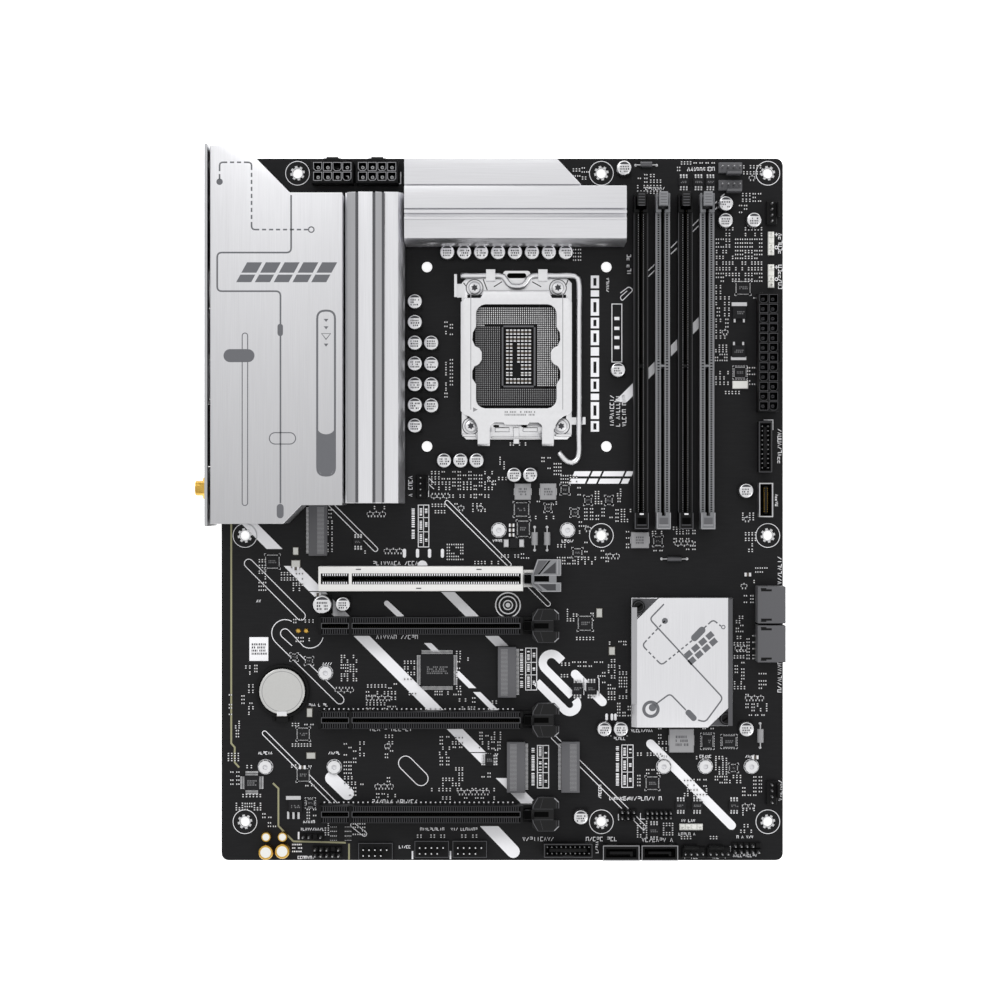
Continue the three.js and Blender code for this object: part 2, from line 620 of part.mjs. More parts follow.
// One upright port with a contact blade and a keyed corner.
function sataEdge() {
  const shell = box(-7.9, 7.9, -3.3, 3.3, 0, 9);
  const mouth = box(-6.6, 6.6, -1.9, 1.9, 3, 10);
  const blade = join(box(-5, 5, -0.6, 0.6, 2, 8.4), box(3.8, 5, -1.5, 0.6, 2, 8.4));
  return join(cut(shell, mouth), blade);
}

const SATA = { side: { x: 115.9, y: [-41.05, -57.8] }, edge: { x: [51.4, 68.1], y: -148.4 } };

SATA.side.y.forEach((y, i) =>
  addPart(`sata_side_socket_${i + 1}`, sataSide(), DARK_GREY, SATA.side.x, y, SEAT));
SATA.edge.x.forEach((x, i) =>
  addPart(`sata_edge_socket_${i + 1}`, sataEdge(), BLACK_PLASTIC, x, SATA.edge.y, SEAT));

// A low card connector whose mouth faces +X.
function m2Socket() {
  const body = box(-3.6, 4.4, -11, 11, 0, 4.4);
  return cut(body, box(0.4, 5, -9.9, 9.9, 2.2, 3.5), box(2.6, 5, -9.9, 9.9, 1.2, 3.5));
}

const M2_SOCKETS = [
  { x: -80.3, y: -9.1, turn: 0 }, { x: 2.5, y: -70.6, turn: 180 },
  { x: 6.4, y: -111.8, turn: 180 }, { x: 29.2, y: -111.8, turn: 0 },
];
M2_SOCKETS.forEach(({ x, y, turn }, i) =>
  addPart(`m2_socket_${i + 1}`, m2Socket().rotate([0, 0, turn]), GREY_PLASTIC, x, y, SEAT));

// ---------------------------------------------------------------- front panel connectors

// A shrouded header with its long side along X and its key gap on the -Y side.
function shroudedHeader(length, depth, height) {
  const wall = 0.9;
  const shroud = block(0, 0, length, depth, 0, height);
  const inside = block(0, 0, length - 2 * wall, depth - 2 * wall, 2, height + 1);
  const key = box(-2.2, 2.2, -depth, 0, 3.5, height + 1);
  const comb = block(0, 0, length - 4.4, 1.6, 1.5, height - 1.6);
  return join(cut(shroud, inside, key), comb);
}

// Two rows of upright square pins in a low base. One pin is left out as a key.
function pinHeader(columns, missing) {
  const pitch = 2.54;
  const base = block(0, 0, columns * pitch + 2.2, 7.2, 0, 2.4);
  const pins = [];
  for (let column = 0; column < columns; column += 1) {
    for (let row = 0; row < 2; row += 1) {
      if (column === missing && row === 0) continue;
      pins.push(block((column - (columns - 1) / 2) * pitch, (row - 0.5) * pitch, 0.64, 0.64, 2, 8.6));
    }
  }
  return join(base, ...pins);
}

// A small metal-shelled socket that takes a plug from above.
function shellSocket() {
  const shell = block(0, 0, 14.9, 6.1, 0, 9.6);
  const mouth = block(0, 0, 13.7, 4.9, 2, 11);
  const blade = block(0, 0, 11.6, 1.1, 1.5, 8.6);
  return join(cut(shell, mouth), blade);
}

addPart('usb3_header_1', shroudedHeader(22, 5.8, 8.8).rotate([0, 0, 90]), BLACK_PLASTIC, 113.7, 27, SEAT);
addPart('usb3_header_2', shroudedHeader(21, 6.1, 8.8), BLACK_PLASTIC, 28.5, -147.4, SEAT);
addPart('usb_c_header', shellSocket().rotate([0, 0, 90]), STEEL, 113.9, 4.1, SEAT);
addPart('usb2_header_1', pinHeader(5, 4), BLACK_PLASTIC, -30.6, -147.5, SEAT);
addPart('usb2_header_2', pinHeader(5, 4), BLACK_PLASTIC, -14.1, -147.5, SEAT);
addPart('com_header', pinHeader(5, 4), BLACK_PLASTIC, -55, -148.4, SEAT);

export default motherboard;
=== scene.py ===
"""The looks of a desktop computer's main circuit board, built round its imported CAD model.

Sizes and places are in millimetres, in the frame of the CAD model, and become metres when a piece is made.
"""
import math
import random

import bpy
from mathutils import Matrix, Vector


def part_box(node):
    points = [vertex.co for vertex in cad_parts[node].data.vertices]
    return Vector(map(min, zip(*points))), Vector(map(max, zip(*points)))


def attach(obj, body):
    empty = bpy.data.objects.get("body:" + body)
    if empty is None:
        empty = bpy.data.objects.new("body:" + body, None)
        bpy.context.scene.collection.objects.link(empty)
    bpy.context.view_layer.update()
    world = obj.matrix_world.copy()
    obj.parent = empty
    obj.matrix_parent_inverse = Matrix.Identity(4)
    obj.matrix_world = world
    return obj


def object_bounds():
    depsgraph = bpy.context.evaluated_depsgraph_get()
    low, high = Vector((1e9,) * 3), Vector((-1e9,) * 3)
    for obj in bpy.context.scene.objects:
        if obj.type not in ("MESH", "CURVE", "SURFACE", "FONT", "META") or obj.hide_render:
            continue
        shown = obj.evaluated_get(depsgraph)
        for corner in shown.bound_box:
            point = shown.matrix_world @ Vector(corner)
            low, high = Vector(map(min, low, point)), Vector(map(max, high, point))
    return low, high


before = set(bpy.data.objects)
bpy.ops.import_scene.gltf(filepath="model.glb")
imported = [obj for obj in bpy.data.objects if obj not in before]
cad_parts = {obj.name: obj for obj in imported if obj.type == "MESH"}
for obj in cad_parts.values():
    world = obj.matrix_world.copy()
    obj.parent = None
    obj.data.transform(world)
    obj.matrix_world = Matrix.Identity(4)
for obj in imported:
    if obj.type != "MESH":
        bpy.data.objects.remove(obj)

cad_low, cad_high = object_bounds()

MM = 0.001
BOARD_TOP = 1.6
SEAT = 1.65  # parts stand just above the solder mask
INK = 0.03  # thickness of the printed ink
PITCH = 2.54  # pin spacing of the plain headers
draw = random.Random(11)


# ---------------------------------------------------------------- finishes


def linear(*levels):
    """Screen levels from 0 to 255 as linear colour."""
    return [((v / 255 + 0.055) / 1.055) ** 2.4 if v > 10 else v / 255 / 12.92 for v in levels]


def add_node(tree, kind, **values):
    """A new shader node with its named inputs set. An underscore stands for a space."""
    node = tree.nodes.new("ShaderNode" + kind)
    for name, value in values.items():
        node.inputs[name.replace("_", " ")].default_value = value
    return node


def color_mix(tree, blend):
    """A node that mixes two colours."""
    node = tree.nodes.new("ShaderNodeMix")
    node.data_type = "RGBA"
    node.blend_type = blend
    return node


def look(name, levels, roughness, metallic=0.0, vary=0.0, size=0.5, grain=(1, 1, 1), bump=0.1,
         spread=0.08, specular=0.3, painted_shade=None):
    """A procedural finish: noise of the given size, stretched by grain, moves colour, roughness and height.

    A painted shade of (low y, high y, share): shade painted into the colour, darker to that share towards
    the low end.
    """
    material = bpy.data.materials.new(name)
    material.use_nodes = True
    tree = material.node_tree
    join = tree.links.new
    shader = tree.nodes["Principled BSDF"]
    color = linear(*levels)
    shader.inputs["Base Color"].default_value = (*color, 1)
    shader.inputs["Metallic"].default_value = metallic
    shader.inputs["Specular IOR Level"].default_value = specular
    place = add_node(tree, "TexCoord")
    scale = add_node(tree, "Mapping", Scale=[1 / (size * MM * g) for g in grain])
    join(place.outputs["Object"], scale.inputs["Vector"])
    noise = add_node(tree, "TexNoise", Scale=1, Detail=4)
    join(scale.outputs["Vector"], noise.inputs["Vector"])
    rough = add_node(tree, "MapRange", To_Min=roughness - spread, To_Max=roughness + spread)
    join(noise.outputs["Fac"], rough.inputs["Value"])
    join(rough.outputs["Result"], shader.inputs["Roughness"])
    relief = add_node(tree, "Bump", Strength=bump, Distance=0.02 * MM)
    join(noise.outputs["Fac"], relief.inputs["Height"])
    join(relief.outputs["Normal"], shader.inputs["Normal"])
    if vary:
        tint = color_mix(tree, "MIX")
        tint.inputs["A"].default_value = (*[c * (1 - vary) for c in color], 1)
        tint.inputs["B"].default_value = (*[min(1, c * (1 + vary)) for c in color], 1)
        join(noise.outputs["Fac"], tint.inputs["Factor"])
        join(tint.outputs["Result"], shader.inputs["Base Color"])
    # Painted shade: the colour is multiplied down towards the low y end.
    if painted_shade:
        split = add_node(tree, "SeparateXYZ")
        join(place.outputs["Object"], split.inputs["Vector"])
        low, high, share = painted_shade
        shade = add_node(tree, "MapRange", From_Min=low * MM, From_Max=high * MM, To_Min=share)
        join(split.outputs["Y"], shade.inputs["Value"])
        darken = color_mix(tree, "MULTIPLY")
        darken.inputs["Factor"].default_value = 1
        join(shader.inputs["Base Color"].links[0].from_socket, darken.inputs["A"])
        join(shade.outputs["Result"], darken.inputs["B"])
        join(darken.outputs["Result"], shader.inputs["Base Color"])
    return material


def solder_mask():
    """Black solder mask with faint copper lines and vias under it."""
    track_length, track_width, via_spacing = 9 * MM, 0.9 * MM, 2.6 * MM
    material = look("solder_mask", (16, 16, 18), 0.42, vary=0.12, size=6, bump=0.05, specular=0.2)
    tree = material.node_tree
    join = tree.links.new
    shader = tree.nodes["Principled BSDF"]
    place = add_node(tree, "TexCoord")
    turn = add_node(tree, "Mapping", Rotation=(0, 0, math.radians(45)),
                    Scale=(1 / track_length, 1 / track_width, 1))
    join(place.outputs["Object"], turn.inputs["Vector"])
    tracks = add_node(tree, "TexNoise", Scale=1, Detail=0)
    join(turn.outputs["Vector"], tracks.inputs["Vector"])
    edge = add_node(tree, "ValToRGB")
    edge.color_ramp.elements[0].position = 0.5
    edge.color_ramp.elements[1].position = 0.56
    join(tracks.outputs["Fac"], edge.inputs["Fac"])
    vias = add_node(tree, "TexVoronoi", Scale=1 / via_spacing)
    join(place.outputs["Object"], vias.inputs["Vector"])
    hole = add_node(tree, "MapRange", From_Min=0.07, From_Max=0.1)
    join(vias.outputs["Distance"], hole.inputs["Value"])
    height = add_node(tree, "Math")
    height.operation = "MULTIPLY"
    join(edge.outputs["Color"], height.inputs[0])
    join(hole.outputs["Result"], height.inputs[1])
    relief = add_node(tree, "Bump", Strength=0.12, Distance=0.03 * MM)
    join(height.outputs["Value"], relief.inputs["Height"])
    join(relief.outputs["Normal"], shader.inputs["Normal"])
    lift = color_mix(tree, "ADD")
    lift.inputs["Factor"].default_value = 1
    join(shader.inputs["Base Color"].links[0].from_socket, lift.inputs["A"])
    shine = add_node(tree, "Math")
    shine.operation = "MULTIPLY"
    shine.inputs[1].default_value = 0.001
    join(height.outputs["Value"], shine.inputs[0])
    join(shine.outputs["Value"], lift.inputs["B"])
    join(lift.outputs["Result"], shader.inputs["Base Color"])
    return material


ALONG_Y = (1, 90, 1)
ALONG_X = (90, 1, 1)

MASK = solder_mask()
SILK = look("silkscreen_white", (236, 236, 239), 0.6, size=0.15, bump=0.15)
# Pale grey for painted highlights on the edges of latches, socket cells and connector rims.
PALE_EDGE_HIGHLIGHT = look("painted_edge_highlight_pale", (150, 150, 153), 0.65, size=0.15, bump=0.15)
BRUSHED_Y = look("aluminium_brushed_y", (230, 230, 233), 0.34, 1, vary=0.1, size=0.22, grain=ALONG_Y,
                 spread=0.1)
BRUSHED_X = look("aluminium_brushed_x", (227, 227, 230), 0.34, 1, vary=0.1, size=0.22, grain=ALONG_X,
                 spread=0.1)
# The rear cover's aluminium, with painted shade darkening it towards its low y end.
COVER_METAL_PAINTED_SHADE = look("aluminium_cover_painted_shade", (237, 237, 240), 0.34, 1, vary=0.1, size=0.22, grain=ALONG_Y,
                   spread=0.1, painted_shade=(-6, 154, 0.64))
# Grey for painted light only: shade on heatsinks, load plate bends and screw heads; highlights on grey slot
# edges.
GREY_SHADE_AND_HIGHLIGHT = look("painted_shade_and_highlight_grey", (176, 176, 179), 0.4, 1, vary=0.08, size=0.22, grain=ALONG_Y,
                  spread=0.1)
# Dark metal for real dark parts and print, and for painted shade on metal and painted highlights on black
# mouldings.
DARK_METAL_AND_PAINTED_LIGHT = look("aluminium_dark_and_painted_light", (98, 98, 101), 0.42, 1, vary=0.1, size=0.22, grain=ALONG_Y)
PRINT = look("cover_print", (98, 99, 103), 0.55, size=0.2)
STEEL = look("bright_steel", (236, 236, 238), 0.36, 1, vary=0.05, size=1.5, spread=0.08)
SHIELD_STEEL = look("shield_steel", (186, 187, 189), 0.36, 1, vary=0.06, size=0.8, spread=0.1)
PORT_STEEL = look("port_steel", (198, 198, 200), 0.3, 1, vary=0.05, size=0.9)
ARMOUR = look("slot_armour_plate", (226, 225, 223), 0.4, 0.35, vary=0.04, size=0.3, grain=ALONG_X)
TIN = look("solder_tin", (205, 205, 207), 0.3, 0.9, size=0.2, bump=0.3)
SOLDER = look("solder_bright", (226, 226, 228), 0.45, 0.35, size=0.2, bump=0.2)
DULL_TIN = look("dull_tin", (150, 150, 152), 0.4, 0.8, size=0.2, bump=0.3)
GOLD = look("gold_plate", (212, 172, 84), 0.25, 1, size=0.4, bump=0.1)
CONTACT = look("slot_contact", (84, 78, 66), 0.4, 0.8, size=0.4, bump=0.1)
COPPER_TONE = look("bare_copper_line", (150, 148, 118), 0.5, 0.2, size=0.4)
BLACK = look("black_moulding", (12, 12, 13), 0.5, size=0.12, bump=0.35, specular=0.16)
GLOSS_BLACK = look("black_gloss", (9, 9, 10), 0.3, size=0.2, bump=0.1, specular=0.2)
# Near-black sheets in holes, slots, slits, windows and mouths: painted shadow for the shade inside them.
PAINTED_SHADOW = look("contact_shadow", (3, 3, 3), 0.8, size=0.2, specular=0.05)
LATCH_BLACK = look("black_latch", (14, 14, 15), 0.34, size=0.3, bump=0.2, specular=0.25)
GREY = look("grey_moulding", (122, 123, 126), 0.48, size=0.12, bump=0.3, vary=0.04)
SLOT_GREY = look("grey_slot_moulding", (112, 113, 116), 0.5, size=0.12, bump=0.3, vary=0.04)
# Dark grey for real mouldings, and for painted highlights on black slots and painted shade on grey slots and
# latches.
DARK_GREY_AND_PAINTED_LIGHT = look("dark_grey_moulding_and_painted_light", (88, 88, 91), 0.5, size=0.12, bump=0.3, vary=0.04)
# Dark grey for painted light only: highlights on ribs and edges of black parts, shade on the grey latch's
# facets.
DARK_SHADE_AND_HIGHLIGHT = look("painted_shade_and_highlight_dark", (58, 58, 61), 0.5, size=0.2, bump=0.1)
EPOXY = look("chip_epoxy", (24, 24, 26), 0.55, size=0.1, bump=0.4, specular=0.2)
EPOXY_PRINT = look("chip_print", (112, 112, 114), 0.6, size=0.1)
CERAMIC = look("ceramic_tan", (90, 84, 77), 0.5, size=0.1, bump=0.2)
RESISTOR = look("resistor_black", (14, 14, 15), 0.4, size=0.1, bump=0.1)
CAN = look("capacitor_can", (228, 228, 230), 0.25, 1, size=0.6, bump=0.05)
CAN_MARK = look("capacitor_mark", (58, 58, 62), 0.5, size=0.2)
FERRITE = look("choke_grey", (150, 150, 152), 0.5, 0.25, size=0.12, bump=0.5, vary=0.05)
CELL = look("cell_steel", (206, 206, 204), 0.32, 1, vary=0.04, size=1.2)
SILICON = look("package_grey", (52, 58, 66), 0.3, size=0.3)
PAD = look("thermal_pad", (150, 160, 170), 0.8, size=0.6, bump=0.5)
CRYSTAL = look("crystal_can", (196, 196, 192), 0.3, 0.9, size=0.5)
WHITE_PLASTIC = look("white_moulding", (224, 224, 220), 0.45, size=0.12, bump=0.2)
USB_BLUE = look("tongue_teal", (22, 96, 120), 0.45, size=0.2)
LIME = look("jack_lime", (120, 170, 70), 0.45, size=0.2)

NODE_LOOKS = {
    "circuit_board": MASK, "display_port_block": BLACK, "usb_port_block": PORT_STEEL,
    "network_port_block": PORT_STEEL, "audio_jack_block": BLACK, "antenna_jack": GOLD,
    "wireless_module": SHIELD_STEEL, "flash_button": BLACK, "clear_settings_button": BLACK,
    "button_switch_block": DARK_GREY_AND_PAINTED_LIGHT, "io_shield": SHIELD_STEEL, "io_cover": COVER_METAL_PAINTED_SHADE,
    "vrm_heatsink_left": BRUSHED_Y, "vrm_heatsink_top": BRUSHED_X, "chipset_heatsink": BRUSHED_Y,
    "chipset_package": SILICON, "chipset_push_pin": BLACK, "dimm_slot_1": BLACK, "dimm_slot_2": SLOT_GREY,
    "dimm_slot_3": BLACK, "dimm_slot_4": SLOT_GREY, "dimm_latch_1": LATCH_BLACK, "dimm_latch_2": GREY,
    "dimm_latch_3": LATCH_BLACK, "dimm_latch_4": GREY, "pcie_slot_1": ARMOUR, "pcie_slot": BLACK,
    "pcie_latch_1": GREY, "pcie_latch": LATCH_BLACK, "cpu_socket": BLACK, "socket_frame": STEEL,
    "load_plate": STEEL, "load_lever": STEEL, "socket_backplate": SHIELD_STEEL,
    "battery_holder": BLACK, "battery": CELL, "cpu_power_socket": BLACK, "atx_power_socket": BLACK,
    "sata_side_socket": DARK_GREY_AND_PAINTED_LIGHT, "sata_edge_socket": BLACK, "m2_socket": DARK_GREY_AND_PAINTED_LIGHT,
    "usb3_header": BLACK, "usb_c_header": PORT_STEEL, "usb2_header": BLACK, "com_header": BLACK,
}
EDGE_WIDTHS = {"circuit_board": 0, "load_lever": 0, "io_shield": 0.1, "cpu_socket": 0.15}


def finish_for(node):
    """The finish of a CAD node, by its own name or by its name without the number."""
    return NODE_LOOKS.get(node) or NODE_LOOKS[node.rsplit("_", 1)[0]]


def dress_nodes():
    """Gives every CAD node its finish, and softly rounded edges to all but the board and the lever."""
    for name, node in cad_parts.items():
        node.data.materials.clear()
        node.data.materials.append(finish_for(name))
        width = EDGE_WIDTHS.get(name, 0.25)
        if name == "circuit_board":
            node.data.shade_flat()
            continue
        node.data.shade_smooth()
        weld = node.modifiers.new("weld", "WELD")
        weld.merge_threshold = 0.002 * MM
        if width:
            flat = node.modifiers.new("flat", "DECIMATE")
            flat.decimate_type = "DISSOLVE"
            flat.angle_limit = math.radians(0.5)
            edge = node.modifiers.new("edge", "BEVEL")
            edge.width = width * MM
            edge.segments = 2
            edge.limit_method = "ANGLE"
            edge.angle_limit = math.radians(35)
            edge.harden_normals = True


def box_of(node):
    """The low and high corners of a CAD node in millimetres, to the nearest thousandth."""
    low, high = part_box(node)
    return [round(v / MM, 3) for v in low], [round(v / MM, 3) for v in high]


def middle_of(node):
    """The middle of a CAD node in millimetres."""
    return [(low + high) / 2 for low, high in zip(*box_of(node))]


def top_of(node):
    """The highest level of a CAD node in millimetres."""
    return box_of(node)[1][2]


# ---------------------------------------------------------------- named places

# Taken from the CAD nodes.
SOCKET_X, SOCKET_Y = middle_of("cpu_socket")[:2]
MEMORY_X = [middle_of(f"dimm_slot_{k + 1}")[0] for k in range(4)]
MEMORY_Y = middle_of("dimm_slot_1")[1]
SLOT_Y = [middle_of(f"pcie_slot_{k + 1}")[1] for k in range(4)]
SLOT_TOP = top_of("pcie_slot_1")
PAD_TOP = box_of("vrm_heatsink_left")[0][2] - 0.02
DISPLAY_Y, USB_Y, SECOND_USB_Y, NETWORK_Y, AUDIO_Y = [middle_of(node)[1] for node in (
    "display_port_block", "usb_port_block_1", "usb_port_block_2", "network_port_block", "audio_jack_block")]
ANTENNAS = [middle_of(node)[1:] for node in ("antenna_jack_1", "antenna_jack_2")]
PORT_FACE = box_of("usb_port_block_1")[0][0]
SHIELD_FACE = box_of("io_shield")[0][0]
BOX_HEADERS = [middle_of(node)[:2] for node in ("usb2_header_1", "usb2_header_2", "com_header")]

# The middles of the cells in the power sockets, at a typed distance from one side of each node.
MAIN_POWER = box_of("atx_power_socket")[0][0] + 4.45, middle_of("atx_power_socket")[1]
CPU_POWER = [(middle_of(node)[0], box_of(node)[0][1] + 5.1)
             for node in ("cpu_power_socket_1", "cpu_power_socket_2")]

# Typed here, not taken from a node.
CELL_PITCH = 4.2  # spacing of the cells in the power sockets
MEMORY_RAIL = SEAT + 8.6  # top of a memory slot's rails
MEMORY_KEY = -1.85  # place of the key along a memory slot, from its middle
SLOT_KEY = -65.5  # x of the key in every card slot
WELL_HALF = 7.61  # half the width kept clear of contacts, across the socket's well
SOUND_HEADER, PANEL_HEADER = (-76, -148.7), (106, -147.1)  # two headers without a CAD node
TOP_CANS = [(-23.8 + k * 7.33, 111.3) for k in range(8)]  # the two rows of capacitors by the socket
SIDE_CANS = [(-37.8, 90 - k * 8.95) for k in range(7)]


# ---------------------------------------------------------------- mesh building


class Piece:
    """Closed forms in millimetres, each with a finish, that become one object riding on a body."""

    def __init__(self, name, slot=None, body="board"):
        self.name, self.slot, self.body = name, slot, body
        self.points, self.faces, self.looks, self.soft = [], [], [], []

    def add(self, points, faces, finish, soft=False):
        """Adds one closed form."""
        start = len(self.points)
        self.points.extend(points)
        self.faces.extend([start + i for i in face] for face in faces)
        self.looks.extend([finish] * len(faces))
        self.soft.extend([soft] * len(faces))

    def make(self):
        """Turns the forms into one object, and gives it its body."""
        mesh = bpy.data.meshes.new(self.name)
        mesh.from_pydata([(x * MM, y * MM, z * MM) for x, y, z in self.points], [], self.faces)
        finishes = list(dict.fromkeys(self.looks))
        for finish in finishes:
            mesh.materials.append(finish)
        number = {finish: i for i, finish in enumerate(finishes)}
        mesh.polygons.foreach_set("material_index", [number[f] for f in self.looks])
        mesh.polygons.foreach_set("use_smooth", self.soft)
        mesh.set_sharp_from_angle(angle=math.radians(40))
        mesh.update()
        piece = bpy.data.objects.new(self.name, mesh)
        bpy.context.scene.collection.objects.link(piece)
        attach(piece, self.body)
        return piece


def loft(piece, rings, finish, soft=False):
    """Joins rings of points, listed from the bottom up, into a closed form."""
    n = len(rings[0])
    points = [p for ring in rings for p in ring]
    faces = [list(range(n))[::-1], [len(points) - n + i for i in range(n)]]
    for level in range(len(rings) - 1):
        low, high = level * n, (level + 1) * n
        faces += [[low + i, low + (i + 1) % n, high + (i + 1) % n, high + i] for i in range(n)]
    piece.add(points, faces, finish, soft)


def lathe(piece, x, y, profile, finish, sides=16, soft=True):
    """Turns a profile of (radius, height) about an upright line."""
    rings = [[(x + r * math.cos(2 * math.pi * i / sides), y + r * math.sin(2 * math.pi * i / sides), z)
              for i in range(sides)] for r, z in profile]
    loft(piece, rings, finish, soft)


def bar(piece, start, end, radius, finish, sides=8):
    """A round bar between two points."""
    a, b = start, end
    along = [b[i] - a[i] for i in range(3)]
    length = math.sqrt(sum(v * v for v in along))
    along = [v / length for v in along]
    helper = (0, 0, 1) if abs(along[2]) < 0.9 else (1, 0, 0)
    u = cross(along, helper)
    size = math.sqrt(sum(v * v for v in u))
    u = [v / size for v in u]
    w = cross(along, u)
    rings = [[tuple(p[k] + radius * (math.cos(t) * u[k] + math.sin(t) * w[k]) for k in range(3))
              for t in [2 * math.pi * i / sides for i in range(sides)]] for p in (a, b)]
    loft(piece, rings, finish, True)


def cross(a, b):
    """The cross product of two directions."""
    return [a[1] * b[2] - a[2] * b[1], a[2] * b[0] - a[0] * b[2], a[0] * b[1] - a[1] * b[0]]


def turned_xy(x, y, dx, dy, angle):
    """A point at (dx, dy) from (x, y), turned by an angle in degrees."""
    c, s = math.cos(math.radians(angle)), math.sin(math.radians(angle))
    return x + dx * c - dy * s, y + dx * s + dy * c


def block(piece, x, y, width, length, z0, z1, finish, turn=0, chamfer=0.0):
    """A box by its centre, turned about it, with an optional chamfer round its top."""
    levels = [(0, z0), (0, z1 - chamfer), (chamfer, z1)] if chamfer else [(0, z0), (0, z1)]
    rings = []
    for inset, z in levels:
        w, l = width / 2 - inset, length / 2 - inset
        rings.append([(*turned_xy(x, y, a, b, turn), z) for a, b in ((-w, -l), (w, -l), (w, l), (-w, l))])
    loft(piece, rings, finish)


def slab(piece, x, y, width, length, base, thick, finish, turn=0, chamfer=0.0):
    """A box by its centre that lies on a level."""
    block(piece, x, y, width, length, base, base + thick, finish, turn, chamfer)


def rectangle(x, y, half_width, half_length):
    """The corners of a rectangle about its centre."""
    return [(x - half_width, y - half_length), (x + half_width, y - half_length),
            (x + half_width, y + half_length), (x - half_width, y + half_length)]


def prism(piece, outline, z0, z1, finish):
    """A closed outline in X and Y, raised from z0 to z1."""
    area = sum(a[0] * b[1] - b[0] * a[1] for a, b in zip(outline, outline[1:] + outline[:1]))
    ring = outline if area > 0 else outline[::-1]
    loft(piece, [[(x, y, z0) for x, y in ring], [(x, y, z1) for x, y in ring]], finish)


def arc(x, y, radius, start, end, steps=8):
    """Points on an arc, between two angles in degrees."""
    angles = [math.radians(start + (end - start) * i / steps) for i in range(steps + 1)]
    return [(x + radius * math.cos(a), y + radius * math.sin(a)) for a in angles]


def band(piece, inner, outer, z0, z1, finish):
    """A closed band between two outlines with the same number of points."""
    n = len(inner)
    points = [(x, y, z) for z in (z0, z1) for ring in (inner, outer) for x, y in ring]
    faces = []
    for i in range(n):
        j = (i + 1) % n
        faces += [
            [i, j, n + j, n + i], [2 * n + j, 2 * n + i, 3 * n + i, 3 * n + j],
            [i, 2 * n + i, 2 * n + j, j], [n + i, n + j, 3 * n + j, 3 * n + i],
        ]
    piece.add(points, faces, finish)


def ring(piece, x, y, inner, outer, z0, z1, finish, sides=40):
    """A flat round band."""
    band(piece, arc(x, y, inner, 0, 360 - 360 / sides, sides - 1),
         arc(x, y, outer, 0, 360 - 360 / sides, sides - 1), z0, z1, finish)


def rounded(points, radius, closed=False, steps=5):
    """A line through the points with its corners rounded off."""
    out = [] if closed else [points[0]]
    n = len(points)
    for i in range(n) if closed else range(1, n - 1):
        p, q, r = points[i - 1], points[i], points[(i + 1) % n]
        a = math.hypot(p[0] - q[0], p[1] - q[1])
        b = math.hypot(r[0] - q[0], r[1] - q[1])
        cut = min(radius, a / 2, b / 2)
        s = (q[0] + (p[0] - q[0]) * cut / a, q[1] + (p[1] - q[1]) * cut / a)
        e = (q[0] + (r[0] - q[0]) * cut / b, q[1] + (r[1] - q[1]) * cut / b)
        for k in range(steps + 1):
            t = k / steps
            out.append(tuple((1 - t) ** 2 * s[m] + 2 * t * (1 - t) * q[m] + t * t * e[m] for m in (0, 1)))
    return out if closed else out + [points[-1]]


def offset(points, distance, closed=False):
    """The line moved sideways, to its left for a positive distance."""
    n = len(points)
    moved = []
    for i in range(n):
        before = points[i - 1] if closed or i > 0 else points[i]
        after = points[(i + 1) % n] if closed or i < n - 1 else points[i]
        sides = []
        for p, q in ((before, points[i]), (points[i], after)):
            length = math.hypot(q[0] - p[0], q[1] - p[1])
            if length > 1e-6:
                sides.append((-(q[1] - p[1]) / length, (q[0] - p[0]) / length))
        nx, ny = sum(s[0] for s in sides) / len(sides), sum(s[1] for s in sides) / len(sides)
        size = max(nx * nx + ny * ny, 0.3)
        moved.append((points[i][0] + nx * distance / size, points[i][1] + ny * distance / size))
    return moved


def stroke(piece, points, width, z, finish, closed=False, thick=INK):
    """A printed line of even width."""
    left, right = offset(points, width / 2, closed), offset(points, -width / 2, closed)
    if closed:
        band(piece, left, right, z, z + thick, finish)
    else:
        prism(piece, right + left[::-1], z, z + thick, finish)


def dashes(piece, points, width, z, finish, dash=1.4, gap=1.3):
    """A dashed line along the points."""
    for (x0, y0), (x1, y1) in zip(points, points[1:]):
        length = math.hypot(x1 - x0, y1 - y0)
        count = max(1, round((length + gap) / (dash + gap)))
        step = (length + gap) / count
        for k in range(count):
            a, b = k * step / length, min(1, (k * step + step - gap) / length)
            ends = [(x0 + (x1 - x0) * t, y0 + (y1 - y0) * t) for t in (a, b)]
            stroke(piece, ends, width, z, finish)


def capsule_outline(x0, y0, x1, y1, radius, steps=10):
    """A line with round ends, as a closed outline."""
    angle = math.degrees(math.atan2(y1 - y0, x1 - x0))
    return (arc(x1, y1, radius, angle - 90, angle + 90, steps)
            + arc(x0, y0, radius, angle + 90, angle + 270, steps))


def capsule(piece, x0, y0, x1, y1, radius, z, finish, thick=INK):
    """A filled line with round ends."""
    prism(piece, capsule_outline(x0, y0, x1, y1, radius), z, z + thick, finish)


def loop(piece, x0, y0, x1, y1, radius, z, finish, width=0.32):
    """The outline of a line with round ends."""
    stroke(piece, capsule_outline(x0, y0, x1, y1, radius), width, z, finish, closed=True)


def disc(piece, x, y, radius, z, finish, sides=24):
    """A printed round spot."""
    prism(piece, arc(x, y, radius, 0, 360 - 360 / sides, sides - 1), z, z + INK, finish)


# ---------------------------------------------------------------- printing on the board

HOLES = [(x, y) for y in (-11.33, -135.79) for x in (-111.84, 43.1, 115.49)]
HOLES += [(-88.98, 146.15), (43.1, 146.15), (115.49, 146.15)]
FINE = 0.32  # width of the thin printed lines


